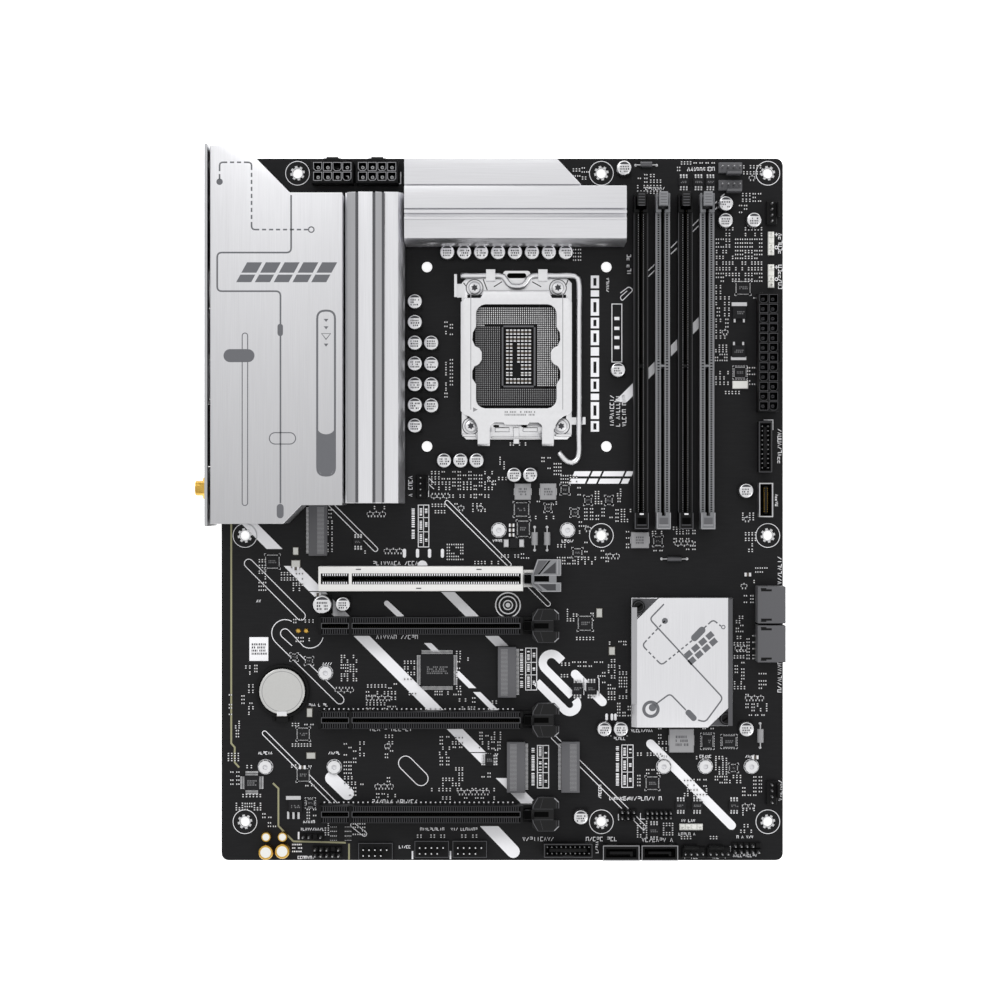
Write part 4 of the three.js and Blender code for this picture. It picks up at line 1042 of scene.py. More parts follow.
def chips_and_crystals():
    """Chip packages, their printed outlines and the oscillator cans."""
    chips = Piece("chip_packages")
    silk = Piece("part_outlines")
    every = ("e", "n", "w", "s")
    chip(chips, -28.3, -69.8, 14.4, 14.0, every, 1.5, 0.5, 1.5, 4)
    chip(chips, -108.8, -118.8, 6.4, 6.4, every, 1.3, 0.5, 1.7, 3)
    for x, y, width, length in (
        (-99.9, -22.7, 5.4, 5.2), (-86.5, -97.7, 4.8, 4.8), (-86.5, -115.4, 4.8, 5.0), (8.4, 0, 5.8, 5.4),
        (9.2, -8.4, 4.8, 6.2), (36.1, -49.5, 5.6, 5.6), (104.7, 96.3, 5.6, 5.0), (65.3, -119, 5.0, 5.0),
        (67.7, -13.8, 3.2, 3.4), (27.3, 8.6, 3.0, 3.2), (37.3, 3.9, 2.4, 3.0), (46.4, 3.9, 2.4, 3.0),
        (31.4, -1.4, 2.6, 2.6), (32.7, -18.8, 3.4, 3.0), (100.5, -112.4, 3.0, 2.6), (19.9, 0.7, 2.2, 2.6),
        (-84, -65.9, 2.6, 2.4), (-90.5, -64.2, 2.2, 2.2),
    ):
        flat_chip(chips, silk, x, y, width, length)
    for x, y, width, length in ((89.2, -100.8, 4.4, 5.6), (98.6, -100.9, 5.6, 4.6),
                                (103.4, 59.5, 4.8, 4.2), (-83.4, -127.6, 3.0, 3.0)):
        flat_chip(chips, silk, x, y, width, length, dashed=True)
    for x, y, width, length in (
        (32.7, -77.9, 4.6, 5.0), (38.8, -77.9, 4.6, 5.0), (77.6, -128.7, 4.9, 3.7),
        (84.7, -128.7, 4.9, 3.7), (100.8, -128.7, 4.4, 3.7), (-62.6, -14.1, 4.6, 3.4),
        (78.9, 142.2, 4.7, 3.5), (85.3, 142.2, 4.7, 3.5), (90.5, 142.2, 4.3, 3.5), (66, -139.6, 5.2, 4.8),
    ):
        chip(chips, x, y, width, length, ("n", "s"), 1.4, 1.27, 1.6)
    chip(chips, -5.6, -108.9, 3.6, 5.4, ("e", "w"), 1.4, 1.27, 1.6)
    for x, y, tab in ((103, 85.4, 5.9), (102.7, 68.7, -3.6)):
        chip(chips, x, y, 6.0, 5.2, tall=2.2, print_rows=2)
        block(chips, x, y + (5.0 if tab > 0 else -4.0) * 0.75, 6.6, 1.6, BOARD_TOP, SEAT + 1.0, TIN)
        for dx in (-2, 2):
            block(chips, x + dx, y - (3.3 if tab > 0 else -3.3), 0.8, 1.6, BOARD_TOP, SEAT + 0.8, TIN)
    block(chips, 103.4, 54.1, 6.8, 3.4, SEAT, SEAT + 2.0, WHITE_PLASTIC, chamfer=0.3)
    block(chips, -90.7, -125.3, 6.4, 1.6, BOARD_TOP, SEAT + 1.2, TIN)
    chip(chips, -89.8, -129, 6.0, 5.0, tall=1.7)
    for x in (-93, -90.7, -88.5):
        block(chips, x, -132.9, 0.9, 3.2, BOARD_TOP, SEAT + 0.6, TIN)
    block(chips, 5.1, -14.7, 3.6, 4.4, SEAT, SEAT + 2.2, EPOXY, chamfer=0.2)
    for x in (1.8, 8.4):
        block(chips, x, -14.7, 2.4, 3.6, BOARD_TOP, SEAT + 1.4, TIN, chamfer=0.3)
    chips.make()
    cans = Piece("crystal_cans")
    for x, y, width, length in (
        (-89.7, -18.1, 2.6, 3.6), (-83.7, -88.3, 2.7, 4.2), (-83.1, -107, 4.2, 3.0), (42.2, -45, 2.8, 4.2),
        (47.7, -61.5, 2.9, 3.8), (-89.7, -23.7, 4.2, 3.6),
    ):
        crystal(cans, x, y, width, length)
    for x in (-88.5, -85.1):
        lathe(cans, x, -52.8, [(1.1, SEAT), (1.1, SEAT + 0.8), (0.7, SEAT + 1.2)], GOLD, 16)
    cans.make()
    silk.make()


def open_headers():
    """Pin headers, fan headers and lighting headers that stand on the board."""
    fans = Piece("fan_headers", "black_plastic")
    fan_header(fans, -35.1, 9.9, 270)
    fan_header(fans, 116.9, 128.6, 270)
    fan_header(fans, 116.9, -123, 270)
    fan_header(fans, 83, -148.8)
    fan_header(fans, 93.9, -148.8)
    fans.make()
    grey = Piece("cpu_fan_headers", "dark_grey_plastic")
    fan_header(grey, 99, 148.2, 180, DARK_GREY_AND_PAINTED_LIGHT)
    fan_header(grey, 99, 140.6, 180, DARK_GREY_AND_PAINTED_LIGHT)
    grey.make()
    lighting = Piece("lighting_headers")
    led_header(lighting, 116.7, 115.5, 90)
    led_header(lighting, 116.7, 101.3, 90)
    led_header(lighting, 82, -137.9)
    lighting.make()
    pins = Piece("pin_headers", "black_plastic")
    pin_field(pins, *SOUND_HEADER, 5, 2, missing=((3, 1),))
    pin_field(pins, -82.5, -142, 4, 1, missing=((2, 0),))
    pin_field(pins, 54.5, -132.5, 3, 2)
    pin_field(pins, 67.9, -132.5, 6, 2, pitch=2.0)
    pin_field(pins, *PANEL_HEADER, 5, 2, missing=((4, 1),))
    pins.make()
    posts = Piece("card_standoffs", "socket_steel")
    silk = Piece("standoff_print")
    for x, y in ((-1.5, -9), (28.4, -9), (-76.8, -71), (-102.9, -111.9), (-73, -111.9), (70.2, -111.7),
                 (88.3, -111.7), (108.3, -111.7)):
        standoff(posts, x, y)
        ring(silk, x, y, 3.15, 3.3, BOARD_TOP, BOARD_TOP + INK, SILK, 32)
    posts.make()
    silk.make()


# ---------------------------------------------------------------- small chip components


# Groups of small chips: each piece's rectangles in millimetres, as low x, low y, high x and high y, with the
# share of their places that carries a chip. The rectangles are typed places, not taken from a node.
CHIP_FIELDS = {
    "small_chips_rear": [
        (0.8, (
            (-106.2, -35.9, -102.3, -21.1), (-96.6, -35.9, -86.2, -26.8), (-111, -35.9, -106.2, -31.6),
            (-112.3, -72.4, -105.3, -67.2), (-118.3, -72.4, -112.7, -69), (-114.4, -89.8, -107.5, -75.5),
            (-119.7, -89.8, -116.6, -78.5), (-116.6, -99.4, -113.6, -91.6),
            (-119.7, -109.8, -114, -101.1), (-91.4, -49.8, -81.4, -47.2), (-90.1, -58.1, -81.8, -55),
            (-111.8, -113.3, -104.4, -110.3), (-118.8, -120.3, -113.6, -113.3),
            (-117.9, -125.9, -104.4, -122.9), (-116.2, -131.1, -104.4, -127.2),
            (-104.9, -134.6, -99.7, -131.6), (-106.6, -138.5, -97.9, -135.5),
            (-85.7, -135, -80.1, -129.8), (-78.8, -142, -74.9, -135.9), (-65.3, -142, -59.2, -135.9),
        )),
        (0.9, (
            (-91.8, -94.6, -81.4, -92.4), (-91.8, -103.7, -81.4, -101.1), (-92.3, -112.4, -82.3, -110.7),
            (-91.4, -121.1, -81, -119),
        )),
    ],
    "small_chips_slots": [
        (0.72, (
            (-76.6, -19, -73.1, 0.6), (-65.3, -20.3, -58.8, -16.8), (-56.2, -0.7, -50.5, 2.3),
            (-70.5, -75, -62.7, -62.9), (-43.1, -75, -37.5, -60.3), (-59.2, -78.5, -45.3, -75),
            (-59.7, -88.1, -45.7, -78.5), (-69.2, -125, -63.1, -101.1), (-62.7, -120.3, -59.2, -100.3),
            (-51.4, -108.5, -47, -97.2), (-54.9, -119, -46.2, -115.9), (-55.3, -125.9, -45.7, -122.9),
            (-29.7, -81.1, -17.5, -78.5), (-20.5, -78.5, -17.5, -61.1), (-17.5, -66.8, -14, -63.3),
            (-8.3, -85.5, 6.4, -82), (-19.2, -88.1, -11.4, -81.1), (-41, -81.6, -35.7, -78.5),
            (-27.9, -120.7, -16.6, -98.1), (-14.9, -118.5, -4.4, -112.4), (-10.5, -104.6, -0.1, -96.3),
            (-31.4, -123.3, -2.7, -120.3), (-31.4, -126.3, -2.7, -124.6), (-37.5, -143.7, -24.4, -140.3),
            (-18.3, -143.7, -8.8, -140.3), (-24.4, -22.4, -16.6, -14.6), (-14, -24.2, -1, -22),
            (-7, -107.2, -1, -103.7),
        )),
    ],
    "small_chips_centre": [
        (0.7, (
            (-31.4, 8, -3.6, 17.1), (-31.4, 4.5, -3.6, 7.1), (-31, -2.4, -24.4, 3.2),
            (-21.8, -1.6, -14.9, 3.2), (-13.6, -1.6, -6.6, 3.2), (-7, 10.2, 2.5, 14.5),
            (14.7, 1.5, 26.9, 4.1), (13.8, -5, 27.7, -2), (25.1, 11, 33, 15.4), (32.1, 4.1, 34.7, 10.2),
            (39.9, 1.9, 43.8, 8.4), (49.5, 1.5, 52.1, 9.3), (35.1, -5, 45.1, 1), (33, -11.6, 36.9, -4.6),
            (23.4, -16.8, 29.5, -12.9), (23.4, -24.2, 41.2, -20.3), (35.1, -19, 37.7, -13.7),
            (42.5, -23.3, 50.8, -17.2), (46, -5.9, 56.4, 0.6), (53, -17.2, 56, -9),
            (63.4, -11.1, 73.8, -9), (65.1, -19, 75.6, -16.8), (73.8, -11.1, 84.7, -7.2),
            (73.8, -18.1, 84.7, -12), (-1, -22, 12.1, -18.5), (46, -59.4, 54.3, -56.8),
            (45.6, -83.3, 49.5, -64.6), (50.3, -82.9, 54.7, -67.2), (49.5, -90.3, 56.4, -83.7),
            (25.1, -69, 44.3, -65.5), (25.1, -75.9, 30.3, -71.1), (41.2, -75.9, 45.1, -70.3),
            (31.7, -57.2, 40.3, -55), (45.1, -99, 56.4, -96.8), (38.2, -49, 39.9, -42.9),
            (27.7, -49, 33, -42.9),
        )),
    ],
    "small_chips_front": [
        (0.75, (
            (103.8, -5, 109.9, -1.1), (105.1, -19, 110.8, -9.4), (108.6, -32.9, 112.1, -29.8),
            (101.2, -53.7, 105.1, -45.9), (100.3, -65.5, 110.8, -54.2), (100.3, -78.5, 106, -65.9),
            (111.2, -78.5, 115.1, -69), (105.1, -88.1, 115.6, -79.8), (103.8, -90.3, 114.7, -88.5),
            (58.2, -120.7, 63, -115), (62.1, -115.5, 69, -112.4), (78.6, -125, 89.5, -116.8),
            (92.1, -119.4, 98.2, -107.7), (98.2, -119.4, 104.3, -115), (103.8, -125, 113.4, -115.5),
            (103.8, -133.3, 110.3, -125.5), (103, -141.1, 109, -136.3), (77.3, -143.7, 87.7, -141.6),
            (88.6, -144.2, 99, -141.1), (58.2, -107.7, 69.5, -105), (67.3, -105.5, 72.1, -94.6),
            (83.8, -109, 96.4, -106.8), (58.2, -142.9, 63.4, -135), (69.5, -142, 74.7, -135.9),
            (86, -96.3, 93, -94.2), (107.7, -28.1, 115.6, -24.6), (104.3, -41.1, 115.6, -36.8),
        )),
    ],
    "small_chips_top": [
        (0.86, (
            (92.5, 98.4, 113.4, 123.2), (92.1, 73.7, 99.5, 98), (108.6, 91, 113.8, 98.4),
            (103.8, 133.2, 113, 138), (102.5, 128.4, 106.9, 132.8), (104.3, 145, 113, 150.2),
            (30.3, 142.3, 38.2, 149.3), (58.2, 136.7, 69.5, 146.3), (92.1, 64.1, 98.2, 71.9),
            (92.1, 53.7, 99, 60.6), (96.4, 49.3, 105.1, 52.3), (106, 53.7, 110.3, 62.3),
            (77.3, 149.7, 93, 151.5), (30.3, 107.6, 34.7, 113.7), (-25.3, 75, -23.6, 82.3),
            (-23, 75.4, -21.2, 81), (-25.3, 46.7, -23.6, 64.5), (-23, 51.9, -21.2, 65.8),
            (75.6, 146.7, 93, 149.3),
        )),
        (0.7, (
            (0.3, 27.6, 12.1, 29.3), (16.4, 17.1, 21.7, 23.2), (22.1, 14.5, 26, 20.6),
            (-1.8, 17.1, 1.7, 23.2),
        )),
    ],
}


def small_chips():
    """The fields of small resistors and capacitors, region by region."""
    for name, groups in CHIP_FIELDS.items():
        piece = Piece(name)
        for fill, regions in groups:
            for x0, y0, x1, y1 in regions:
                field(piece, x0, y0, x1, y1, fill)
        piece.make()


def larger_chips():
    """Transistors with their print, resistor arrays and the bigger chips."""
    parts = Piece("transistors_and_arrays")
    silk = Piece("transistor_print")
    for x, y, count, flip in (
        (-49.9, -102.9, 1, 1), (-54.1, -120.4, 3, 1), (-57.9, -82, 4, 1), (-71.4, -78.5, 3, -1),
        (-50.1, -18.1, 3, 1), (-57.5, -2, 3, 1), (76.4, -14.8, 3, -1), (106.9, -82, 3, 1),
        (-17.9, -122.9, 5, 1), (105.6, -129, 2, 1), (-29.7, 5.8, 3, -1), (-17.9, 0.6, 1, 1),
        (-9.7, 0.6, 1, 1), (106.4, -4.2, 1, 1), (102.5, -60.3, 2, 1), (96.9, 77.1, 1, 1),
        (108.6, 144.1, 1, 1), (105.1, -33.3, 1, 1), (46.9, -20.3, 2, 1), (37.3, -8.5, 1, 1),
    ):
        sot_row(parts, silk, x, y, count, flip)
    for x in (-73.3, -67):
        for k in range(3):
            y = -140.9 + (k - 1) * 2.0
            block(parts, x, y, 3.0, 1.6, SEAT, SEAT + 0.6, RESISTOR)
            for side in (-1, 1):
                for leg in range(4):
                    block(parts, x + (leg - 1.5) * 0.8, y + side * 0.8, 0.4, 0.4, BOARD_TOP, SEAT + 0.5,
                          TIN)
    for y in (-6.9, -9, -11.1):
        smd(parts, 4.1, y, 2.0, 1.25, 0, CERAMIC)
    for x, y in ((-89.7, -25.7), (106.7, -28.3), (109.9, -107.7), (-80.1, -37), (-87.9, -83.1),
                 (-86.8, -112)):
        smd(parts, x, y, 2.4, 1.4, 0, CERAMIC)
    parts.make()
    silk.make()


# ---------------------------------------------------------------- connector details


def memory_contacts():
    """Contact windows, groove contacts, key ribs and end plates of the memory slots, with painted shadow and
    edge highlights.
    """
    half = 66.0
    for k, x in enumerate(MEMORY_X):
        node = f"dimm_slot_{k + 1}"
        low, end_top, pale = box_of(node)[0][1], top_of(node), k % 2
        key, y = MEMORY_Y + MEMORY_KEY, MEMORY_Y - half
        piece = Piece(f"memory_contacts_{k + 1}")
        while y < MEMORY_Y + half:
            by_key = abs(y - key) < 3
            for side in (-1, 1):
                # Painted shadow in the contact windows.
                slab(piece, x + side * 1.84, y, 0.96 if by_key else 0.8, 0.62, MEMORY_RAIL, 0.02, PAINTED_SHADOW)
                if not pale:
                    slab(piece, x + side * 1.08, y, 0.22, 0.4, MEMORY_RAIL, 0.02, DULL_TIN)
                slab(piece, x + side * 0.66, y, 0.16, 0.4, SEAT + 3.2, 2.2, CONTACT)
            y += 1.3 if by_key else 1.0
        # Lines along the edges of each end top, lighter than the moulding: painted edge highlights.
        edge = GREY_SHADE_AND_HIGHLIGHT if pale else DARK_METAL_AND_PAINTED_LIGHT
        for side in (-1, 1):
            slab(piece, x + side * 2.8, low + 3.7, 0.3, 6.8, end_top, 0.04, edge)
        slab(piece, x, low + 0.4, 5.4, 0.35, end_top, 0.04, edge)
        slab(piece, x, low + 1.9, 4.2, 0.3, end_top, 0.04, edge)
        # The recess in each end top: painted shade on the grey slots, painted shadow on the black ones.
        slab(piece, x, low + 3.6, 3.7, 2.9, end_top, 0.03, DARK_GREY_AND_PAINTED_LIGHT if pale else PAINTED_SHADOW)
        if not pale:
            slab(piece, x, low + 6.6, 1.7, 0.7, end_top, 0.05, SOLDER)
        # Painted shadow along the floor of the groove.
        for start, end in ((-66.6, -2.8), (-0.9, 66.6)):
            slab(piece, x, MEMORY_Y + (start + end) / 2, 1.2, end - start, SEAT + 3.0, 0.1, PAINTED_SHADOW)
        # Painted edge highlights down the rails.
        for side in (-1, 1):
            slab(piece, x + side * 2.98, MEMORY_Y, 0.14, 133, MEMORY_RAIL, 0.02, edge if pale else DARK_GREY_AND_PAINTED_LIGHT)
        # Painted shadow either side of the key.
        for dy in (-0.7, 0.7):
            slab(piece, x, key + dy, 1.4, 0.45, MEMORY_RAIL, 0.03, PAINTED_SHADOW)
        piece.make()


def slot_contacts():
    """Contact windows and contacts of the card slots, and the black core of the armoured first slot."""
    low, floor, top = box_of("pcie_slot_1")[0][0], SEAT + 3.4, SLOT_TOP
    near, far = low + 1.35, 7.75
    for k, y in enumerate(SLOT_Y):
        armoured = k == 0
        piece = Piece(f"slot_contacts_{k + 1}")
        for start, end in ((near, SLOT_KEY - 0.75), (SLOT_KEY + 0.75, far)):
            mid, reach = (start + end) / 2, end - start
            # Painted shadow on the floor of the card groove.
            slab(piece, mid, y, reach - 0.4, 1.6, floor, 0.05, PAINTED_SHADOW)
            for side in (-1, 1):
                if armoured:
                    slab(piece, mid, y + side * 1.6, reach, 1.6, top, 0.04, GLOSS_BLACK)
                    # Painted shadow down the walls of the groove.
                    block(piece, mid, y + side * 0.82, reach, 0.05, floor, top + 0.04, PAINTED_SHADOW)
                    slab(piece, mid, y + side * 2.3, reach, 0.16, top, 0.06, DULL_TIN)
                else:
                    # Lighter edge lines are painted highlights; the near-black band is painted shadow in the
                    # contact windows.
                    slab(piece, mid, y + side * 1.12, reach, 0.2, top, 0.04, DARK_GREY_AND_PAINTED_LIGHT)
                    slab(piece, mid, y + side * 3.6, reach, 0.14, top, 0.04, DARK_SHADE_AND_HIGHLIGHT)
                    slab(piece, mid, y + side * 2.4, reach, 1.7, top, 0.015, PAINTED_SHADOW)
            for x in (start, end):
                # Painted shadow at the ends of the groove on the armoured slot, lighter end marks as painted
                # highlights on the rest.
                if armoured:
                    block(piece, x, y, 0.5, 4.6, floor, top + 0.05, PAINTED_SHADOW)
                else:
                    slab(piece, x, y, 0.2, 2.4, top, 0.05, DARK_GREY_AND_PAINTED_LIGHT)
        if armoured:
            slab(piece, SLOT_KEY, y, 1.3, 4.7, top, 0.09, ARMOUR)
            for x, side in ((-62, 1), (-36, -1), (-10, 1)):
                slab(piece, x, y + side * 4.1, 2.2, 0.5, top, 0.05, DARK_METAL_AND_PAINTED_LIGHT)
        x = near + 0.8
        while x < far - 0.3:
            if abs(x - SLOT_KEY) > 1.2:
                for side in (-1, 1):
                    if armoured:
                        slab(piece, x, y + side * 1.75, 0.42, 0.9, top + 0.04, 0.03, SILK)
                    else:
                        # Ribs between the contact windows, drawn lighter than the black moulding as painted
                        # highlights.
                        slab(piece, x, y + side * 2.4, 0.32, 1.9, top, 0.03, DARK_SHADE_AND_HIGHLIGHT)
                    slab(piece, x, y + side * 0.7, 0.4, 0.12, SEAT + 3.6, 3.0, CONTACT)
            x += 1.0
        if k > 1:
            for dot in range(40):
                disc(piece, low + 2 + dot * 2.1, y + 4.15, 0.34, BOARD_TOP, SILK, sides=8)
        piece.make()


def shifted(points, y, side=1):
    """The points moved to y, or mirrored there for a side of -1."""
    return [(px, y + side * py) for px, py in points]


def armoured_latch(piece, y, top):
    """Painted light on the grey latch of the armoured slot: shade on facets, shadow in the slit, highlights
    on edges.
    """
    # Painted shadow across the middle of the finger plate.
    slab(piece, 16.6, y, 7.2, 2.5, top, 0.05, PAINTED_SHADOW)
    # Darker facets: painted shade of the latch's slopes.
    for facet in ([(13.4, 1.7), (15.7, 7.9), (19.6, 7.9), (15.0, 1.7)],
                  [(13.4, -2.2), (15.0, -2.2), (17.6, -5.2), (16.6, -5.2)]):
        prism(piece, shifted(facet, y), top, top + 0.03, DARK_GREY_AND_PAINTED_LIGHT)
    # The slit: painted shadow.
    slit = [(15.3, 1.9), (20.1, 7.9), (20.9, 7.9), (16.1, 1.9)]
    prism(piece, shifted(slit, y), top, top + 0.05, PAINTED_SHADOW)
    # Painted shade on more facets.
    for facet in ([(17.3, 2.3), (23.1, 7.2), (23.1, 2.3)],
                  [(15.6, -2.3), (23.1, -2.3), (23.1, -5.0), (19.4, -5.0)]):
        prism(piece, shifted(facet, y), top, top + 0.04, DARK_SHADE_AND_HIGHLIGHT)
    # Pale lines: painted highlights along the latch's edges.
    for line in ([(13.0, 1.5), (25.2, 1.5)], [(13.0, -1.9), (25.2, -1.9)],
                 [(15.4, 8.2), (25.2, 8.2), (25.2, 1.8)], [(13.2, 1.9), (15.4, 8.2)],
                 [(17.2, -5.4), (25.2, -5.4), (25.2, -1.8)], [(23.8, 2.0), (23.8, 8.0)]):
        stroke(piece, shifted(line, y), 0.36, top, PALE_EDGE_HIGHLIGHT)


def plain_latch(piece, y, top):
    """Painted light on a black latch, the same on both sides: a shadow patch and highlights along its edges.
    """
    # Painted shadow across the middle of the finger plate.
    slab(piece, 16.5, y, 7.0, 2.3, top, 0.04, PAINTED_SHADOW)
    # Lighter and pale lines: painted highlights along the latch's edges.
    for side in (-1, 1):
        for line, width, finish in (
            ([(13.1, 1.7), (13.4, 3.7), (15.4, 7.1)], 0.3, DARK_METAL_AND_PAINTED_LIGHT),
            ([(15.4, 7.2), (22.4, 7.2)], 0.16, DARK_SHADE_AND_HIGHLIGHT), ([(22.5, 7.0), (24.4, 5.2)], 0.4, PALE_EDGE_HIGHLIGHT),
            ([(24.4, 5.0), (24.4, 2.6)], 0.3, DARK_METAL_AND_PAINTED_LIGHT), ([(23.3, 2.7), (23.3, 6.0)], 0.2, DARK_SHADE_AND_HIGHLIGHT),
            ([(13.1, 2.3), (22.0, 2.3)], 0.2, DARK_SHADE_AND_HIGHLIGHT), ([(16.4, 2.6), (17.6, 6.8)], 0.14, DARK_SHADE_AND_HIGHLIGHT),
        ):
            stroke(piece, shifted(line, y, side), width, top, finish)


def slot_latch_details():
    """Painted shade on facets, highlights on edges and shadow in slots on the finger plates of the card
    latches.
    """
    finger = SEAT + 10.8
    for k, y in enumerate(SLOT_Y):
        body = f"pcie_latch_{k + 1}"
        piece = Piece(f"slot_latch_marks_{k + 1}", body=body)
        # A painted shadow patch on the top of the latch.
        slab(piece, 11.0, y, 3.1, 3.8, top_of(body), 0.03, PAINTED_SHADOW)
        if k == 0:
            armoured_latch(piece, y, finger)
        else:
            plain_latch(piece, y, finger)
        piece.make()


def memory_latch_details():
    """Finger ridges on the memory latches, as painted highlights on the black ones and painted shade on the
    grey ones.
    """
    for k in range(4):
        body = f"dimm_latch_{k + 1}"
        (x0, _, _), (x1, y1, top) = box_of(body)
        piece = Piece(f"memory_latch_ridges_{k + 1}", body=body)
        # Painted light: lighter strips on the black latches, darker strips on the grey latches.
        finish = DARK_GREY_AND_PAINTED_LIGHT if k % 2 else DARK_METAL_AND_PAINTED_LIGHT
        for step in range(5):
            slab(piece, (x0 + x1) / 2, y1 - 1.2 - step * 1.2, (x1 - x0) * 0.72, 0.34, top, 0.05, finish)
        piece.make()


def power_contacts():
    """Contacts standing in the cells of the power sockets, painted highlights on the cell rims, and latch
    ramps.
    """
    piece = Piece("power_contacts")
    top, half, ramp = top_of("atx_power_socket"), 1.78, (SEAT + 6, SEAT + 13.4)
    for (cx, cy), columns, lines in [(MAIN_POWER, 2, 12)] + [(place, 4, 2) for place in CPU_POWER]:
        small = lines == 2
        # Cell rims lighter than the black moulding: painted highlights.
        rim_highlight, rim_width = (PALE_EDGE_HIGHLIGHT, 0.24) if small else (DARK_GREY_AND_PAINTED_LIGHT, 0.12)
        for i in range(columns):
            for j in range(lines):
                x = cx + (i - (columns - 1) / 2) * CELL_PITCH
                y = cy + (j - (lines - 1) / 2) * CELL_PITCH
                # Contacts in dark metal in the main socket, in tin in the processor sockets: painted shade
                # on the main socket's.
                ring(piece, x, y, 0.4, 0.72, SEAT + 3.05, SEAT + 8.5, TIN if small else DARK_METAL_AND_PAINTED_LIGHT, 8)
                corner = 0.9 if (i + j) % 2 else 0.2
                rim = [(x - half, y - half + corner), (x - half + corner, y - half),
                       (x + half - corner, y - half), (x + half, y - half + corner),
                       (x + half, y + half), (x - half, y + half)]
                stroke(piece, rim, rim_width, top, rim_highlight, closed=True)
    for cx, cy in CPU_POWER:
        block(piece, cx, cy + 5.0, 7.4, 1.2, *ramp, BLACK, chamfer=0.2)
    block(piece, MAIN_POWER[0] + 5.15, MAIN_POWER[1], 1.0, 8.0, *ramp, BLACK, chamfer=0.2)
    piece.make()


def header_contacts():
    """Pins in the shrouded headers, the card sockets and the edge sockets."""
    piece = Piece("header_contacts")
    side_x, side_y, _ = middle_of("usb3_header_1")
    edge_x, edge_y, _ = middle_of("usb3_header_2")
    for k in range(10):
        along = (k - 4.5) * 2.0
        for side in (-1, 1):
            pin(piece, side_x + side * 1.25, side_y + along, SEAT + 2, SEAT + 7.6, 0.5, TIN)
            pin(piece, edge_x + along, edge_y + side * 1.4, SEAT + 2, SEAT + 7.6, 0.5, TIN)
    for number, side in enumerate((1, -1, -1, 1), 1):
        x, y, _ = middle_of(f"m2_socket_{number}")
        for k in range(36):
            along = y + (k - 17.5) * 0.56
            slab(piece, x - side * 4.3, along, 1.9, 0.26, SEAT, 0.5, TIN)
            slab(piece, x + side * 1.2, along, 3.0, 0.22, SEAT + 4.4, 0.02, DULL_TIN)
            slab(piece, x + side * 3.3, along, 1.2, 0.24, SEAT + 3.4, 0.12, GOLD)
    x, y, _ = middle_of("usb_c_header")
    for k in range(12):
        for side in (-1, 1):
            slab(piece, x + side * 0.68, y + (k - 5.5) * 0.9, 0.2, 0.4, SEAT + 2.2, 6.0, GOLD)
    for number in (1, 2):
        x, y, _ = middle_of(f"sata_edge_socket_{number}")
        for k in range(7):
            slab(piece, x + (k - 3) * 1.27, y + 0.2, 0.5, 0.3, SEAT + 3, 4, GOLD)
    piece.make()


# ---------------------------------------------------------------- the processor socket


def socket_contacts():
    """The contact field of the processor socket, round its well."""
    piece = Piece("socket_contacts")
    for side in (-1, 1):
        block(piece, SOCKET_X + side * 16, SOCKET_Y, 3.9, 43, 3.2, 3.9, BLACK)
    for i in range(43):
        for j in range(46):
            dx, dy = (i - 21) * 0.84, (j - 22.5) * 0.93
            in_well = abs(dx - 0.8) < WELL_HALF and abs(dy) < 13.8
            left_gap = -14 < dx < -6.5 and 12.6 < dy < 13.5
            right_gap = 8 < dx < 17 and -13.5 < dy < -12.6
            if in_well or left_gap or right_gap:
                continue
            # Top rows and right side in bright solder, the rest in dull tin: painted highlight and painted
            # shade on the same contacts.
            upper = dy > 13 or dx > 7.5 and dy > -13
            slab(piece, SOCKET_X + dx, SOCKET_Y + dy, 0.36, 0.56, 3.9, 0.24, SOLDER if upper else DULL_TIN)
    piece.make()


def socket_well():
    """The chips in the socket's well and the wall round them."""
    piece = Piece("socket_well_chips")
    cx, cy = SOCKET_X + 0.8, SOCKET_Y
    for row in range(8):
        for column in range(7):
            x, y = cx + (column - 3) * 1.62, cy + 10.6 - row * 3.03
            if row in (2, 3, 4) and column == 2 or row in (5, 6) and column in (2, 3):
                continue
            tall = 0.9 if row == 6 else 1.5
            slab(piece, x, y, 1.05, tall, 2.62, 0.68, CERAMIC)
            for side in (-1, 1):
                slab(piece, x, y + side * (tall / 2 + 0.1), 1.08, 0.5, 2.62, 0.74, SOLDER)
    for x0, x1, y0, y1 in ((-7.3, -6.6, -13.4, 13.4), (6.6, 7.3, -13.4, 13.4), (-7.3, 7.3, 12.7, 13.4),
                           (-7.3, 7.3, -13.4, -12.7)):
        slab(piece, cx + (x0 + x1) / 2, cy + (y0 + y1) / 2, x1 - x0, y1 - y0, 3.9, 0.3, DARK_GREY_AND_PAINTED_LIGHT)
    piece.make()


def socket_screws():
    """The four screws of the socket frame: painted shadow in star recesses and round feet, painted shade on
    heads.
    """
    piece = Piece("socket_screws", "socket_steel")
    z = SEAT + 1.2
    for x, y in ((-12, 96.2), (24.2, 96.2), (-13.6, 36.2), (25.6, 36.2)):
        lathe(piece, x, y, [(3.4, z), (3.4, z + 0.35), (2.9, z + 0.45), (2.8, z + 1.3), (2.2, z + 1.8)],
              STEEL, 32)
        # The star, the ring at the foot and the ring on the head's slope are painted shadow and shade.
        star = [turned_xy(x, y, 1.55 if k % 2 else 1.0, 0, 30 * k + 8) for k in range(12)]
        prism(piece, star, z + 1.8, z + 1.84, CAN_MARK)
        ring(piece, x, y, 3.45, 3.85, z, z + 0.06, DARK_METAL_AND_PAINTED_LIGHT)
        ring(piece, x, y, 2.3, 2.6, z + 1.3, z + 1.75, GREY_SHADE_AND_HIGHLIGHT)
    piece.make()


# ---------------------------------------------------------------- printed lines on the metal


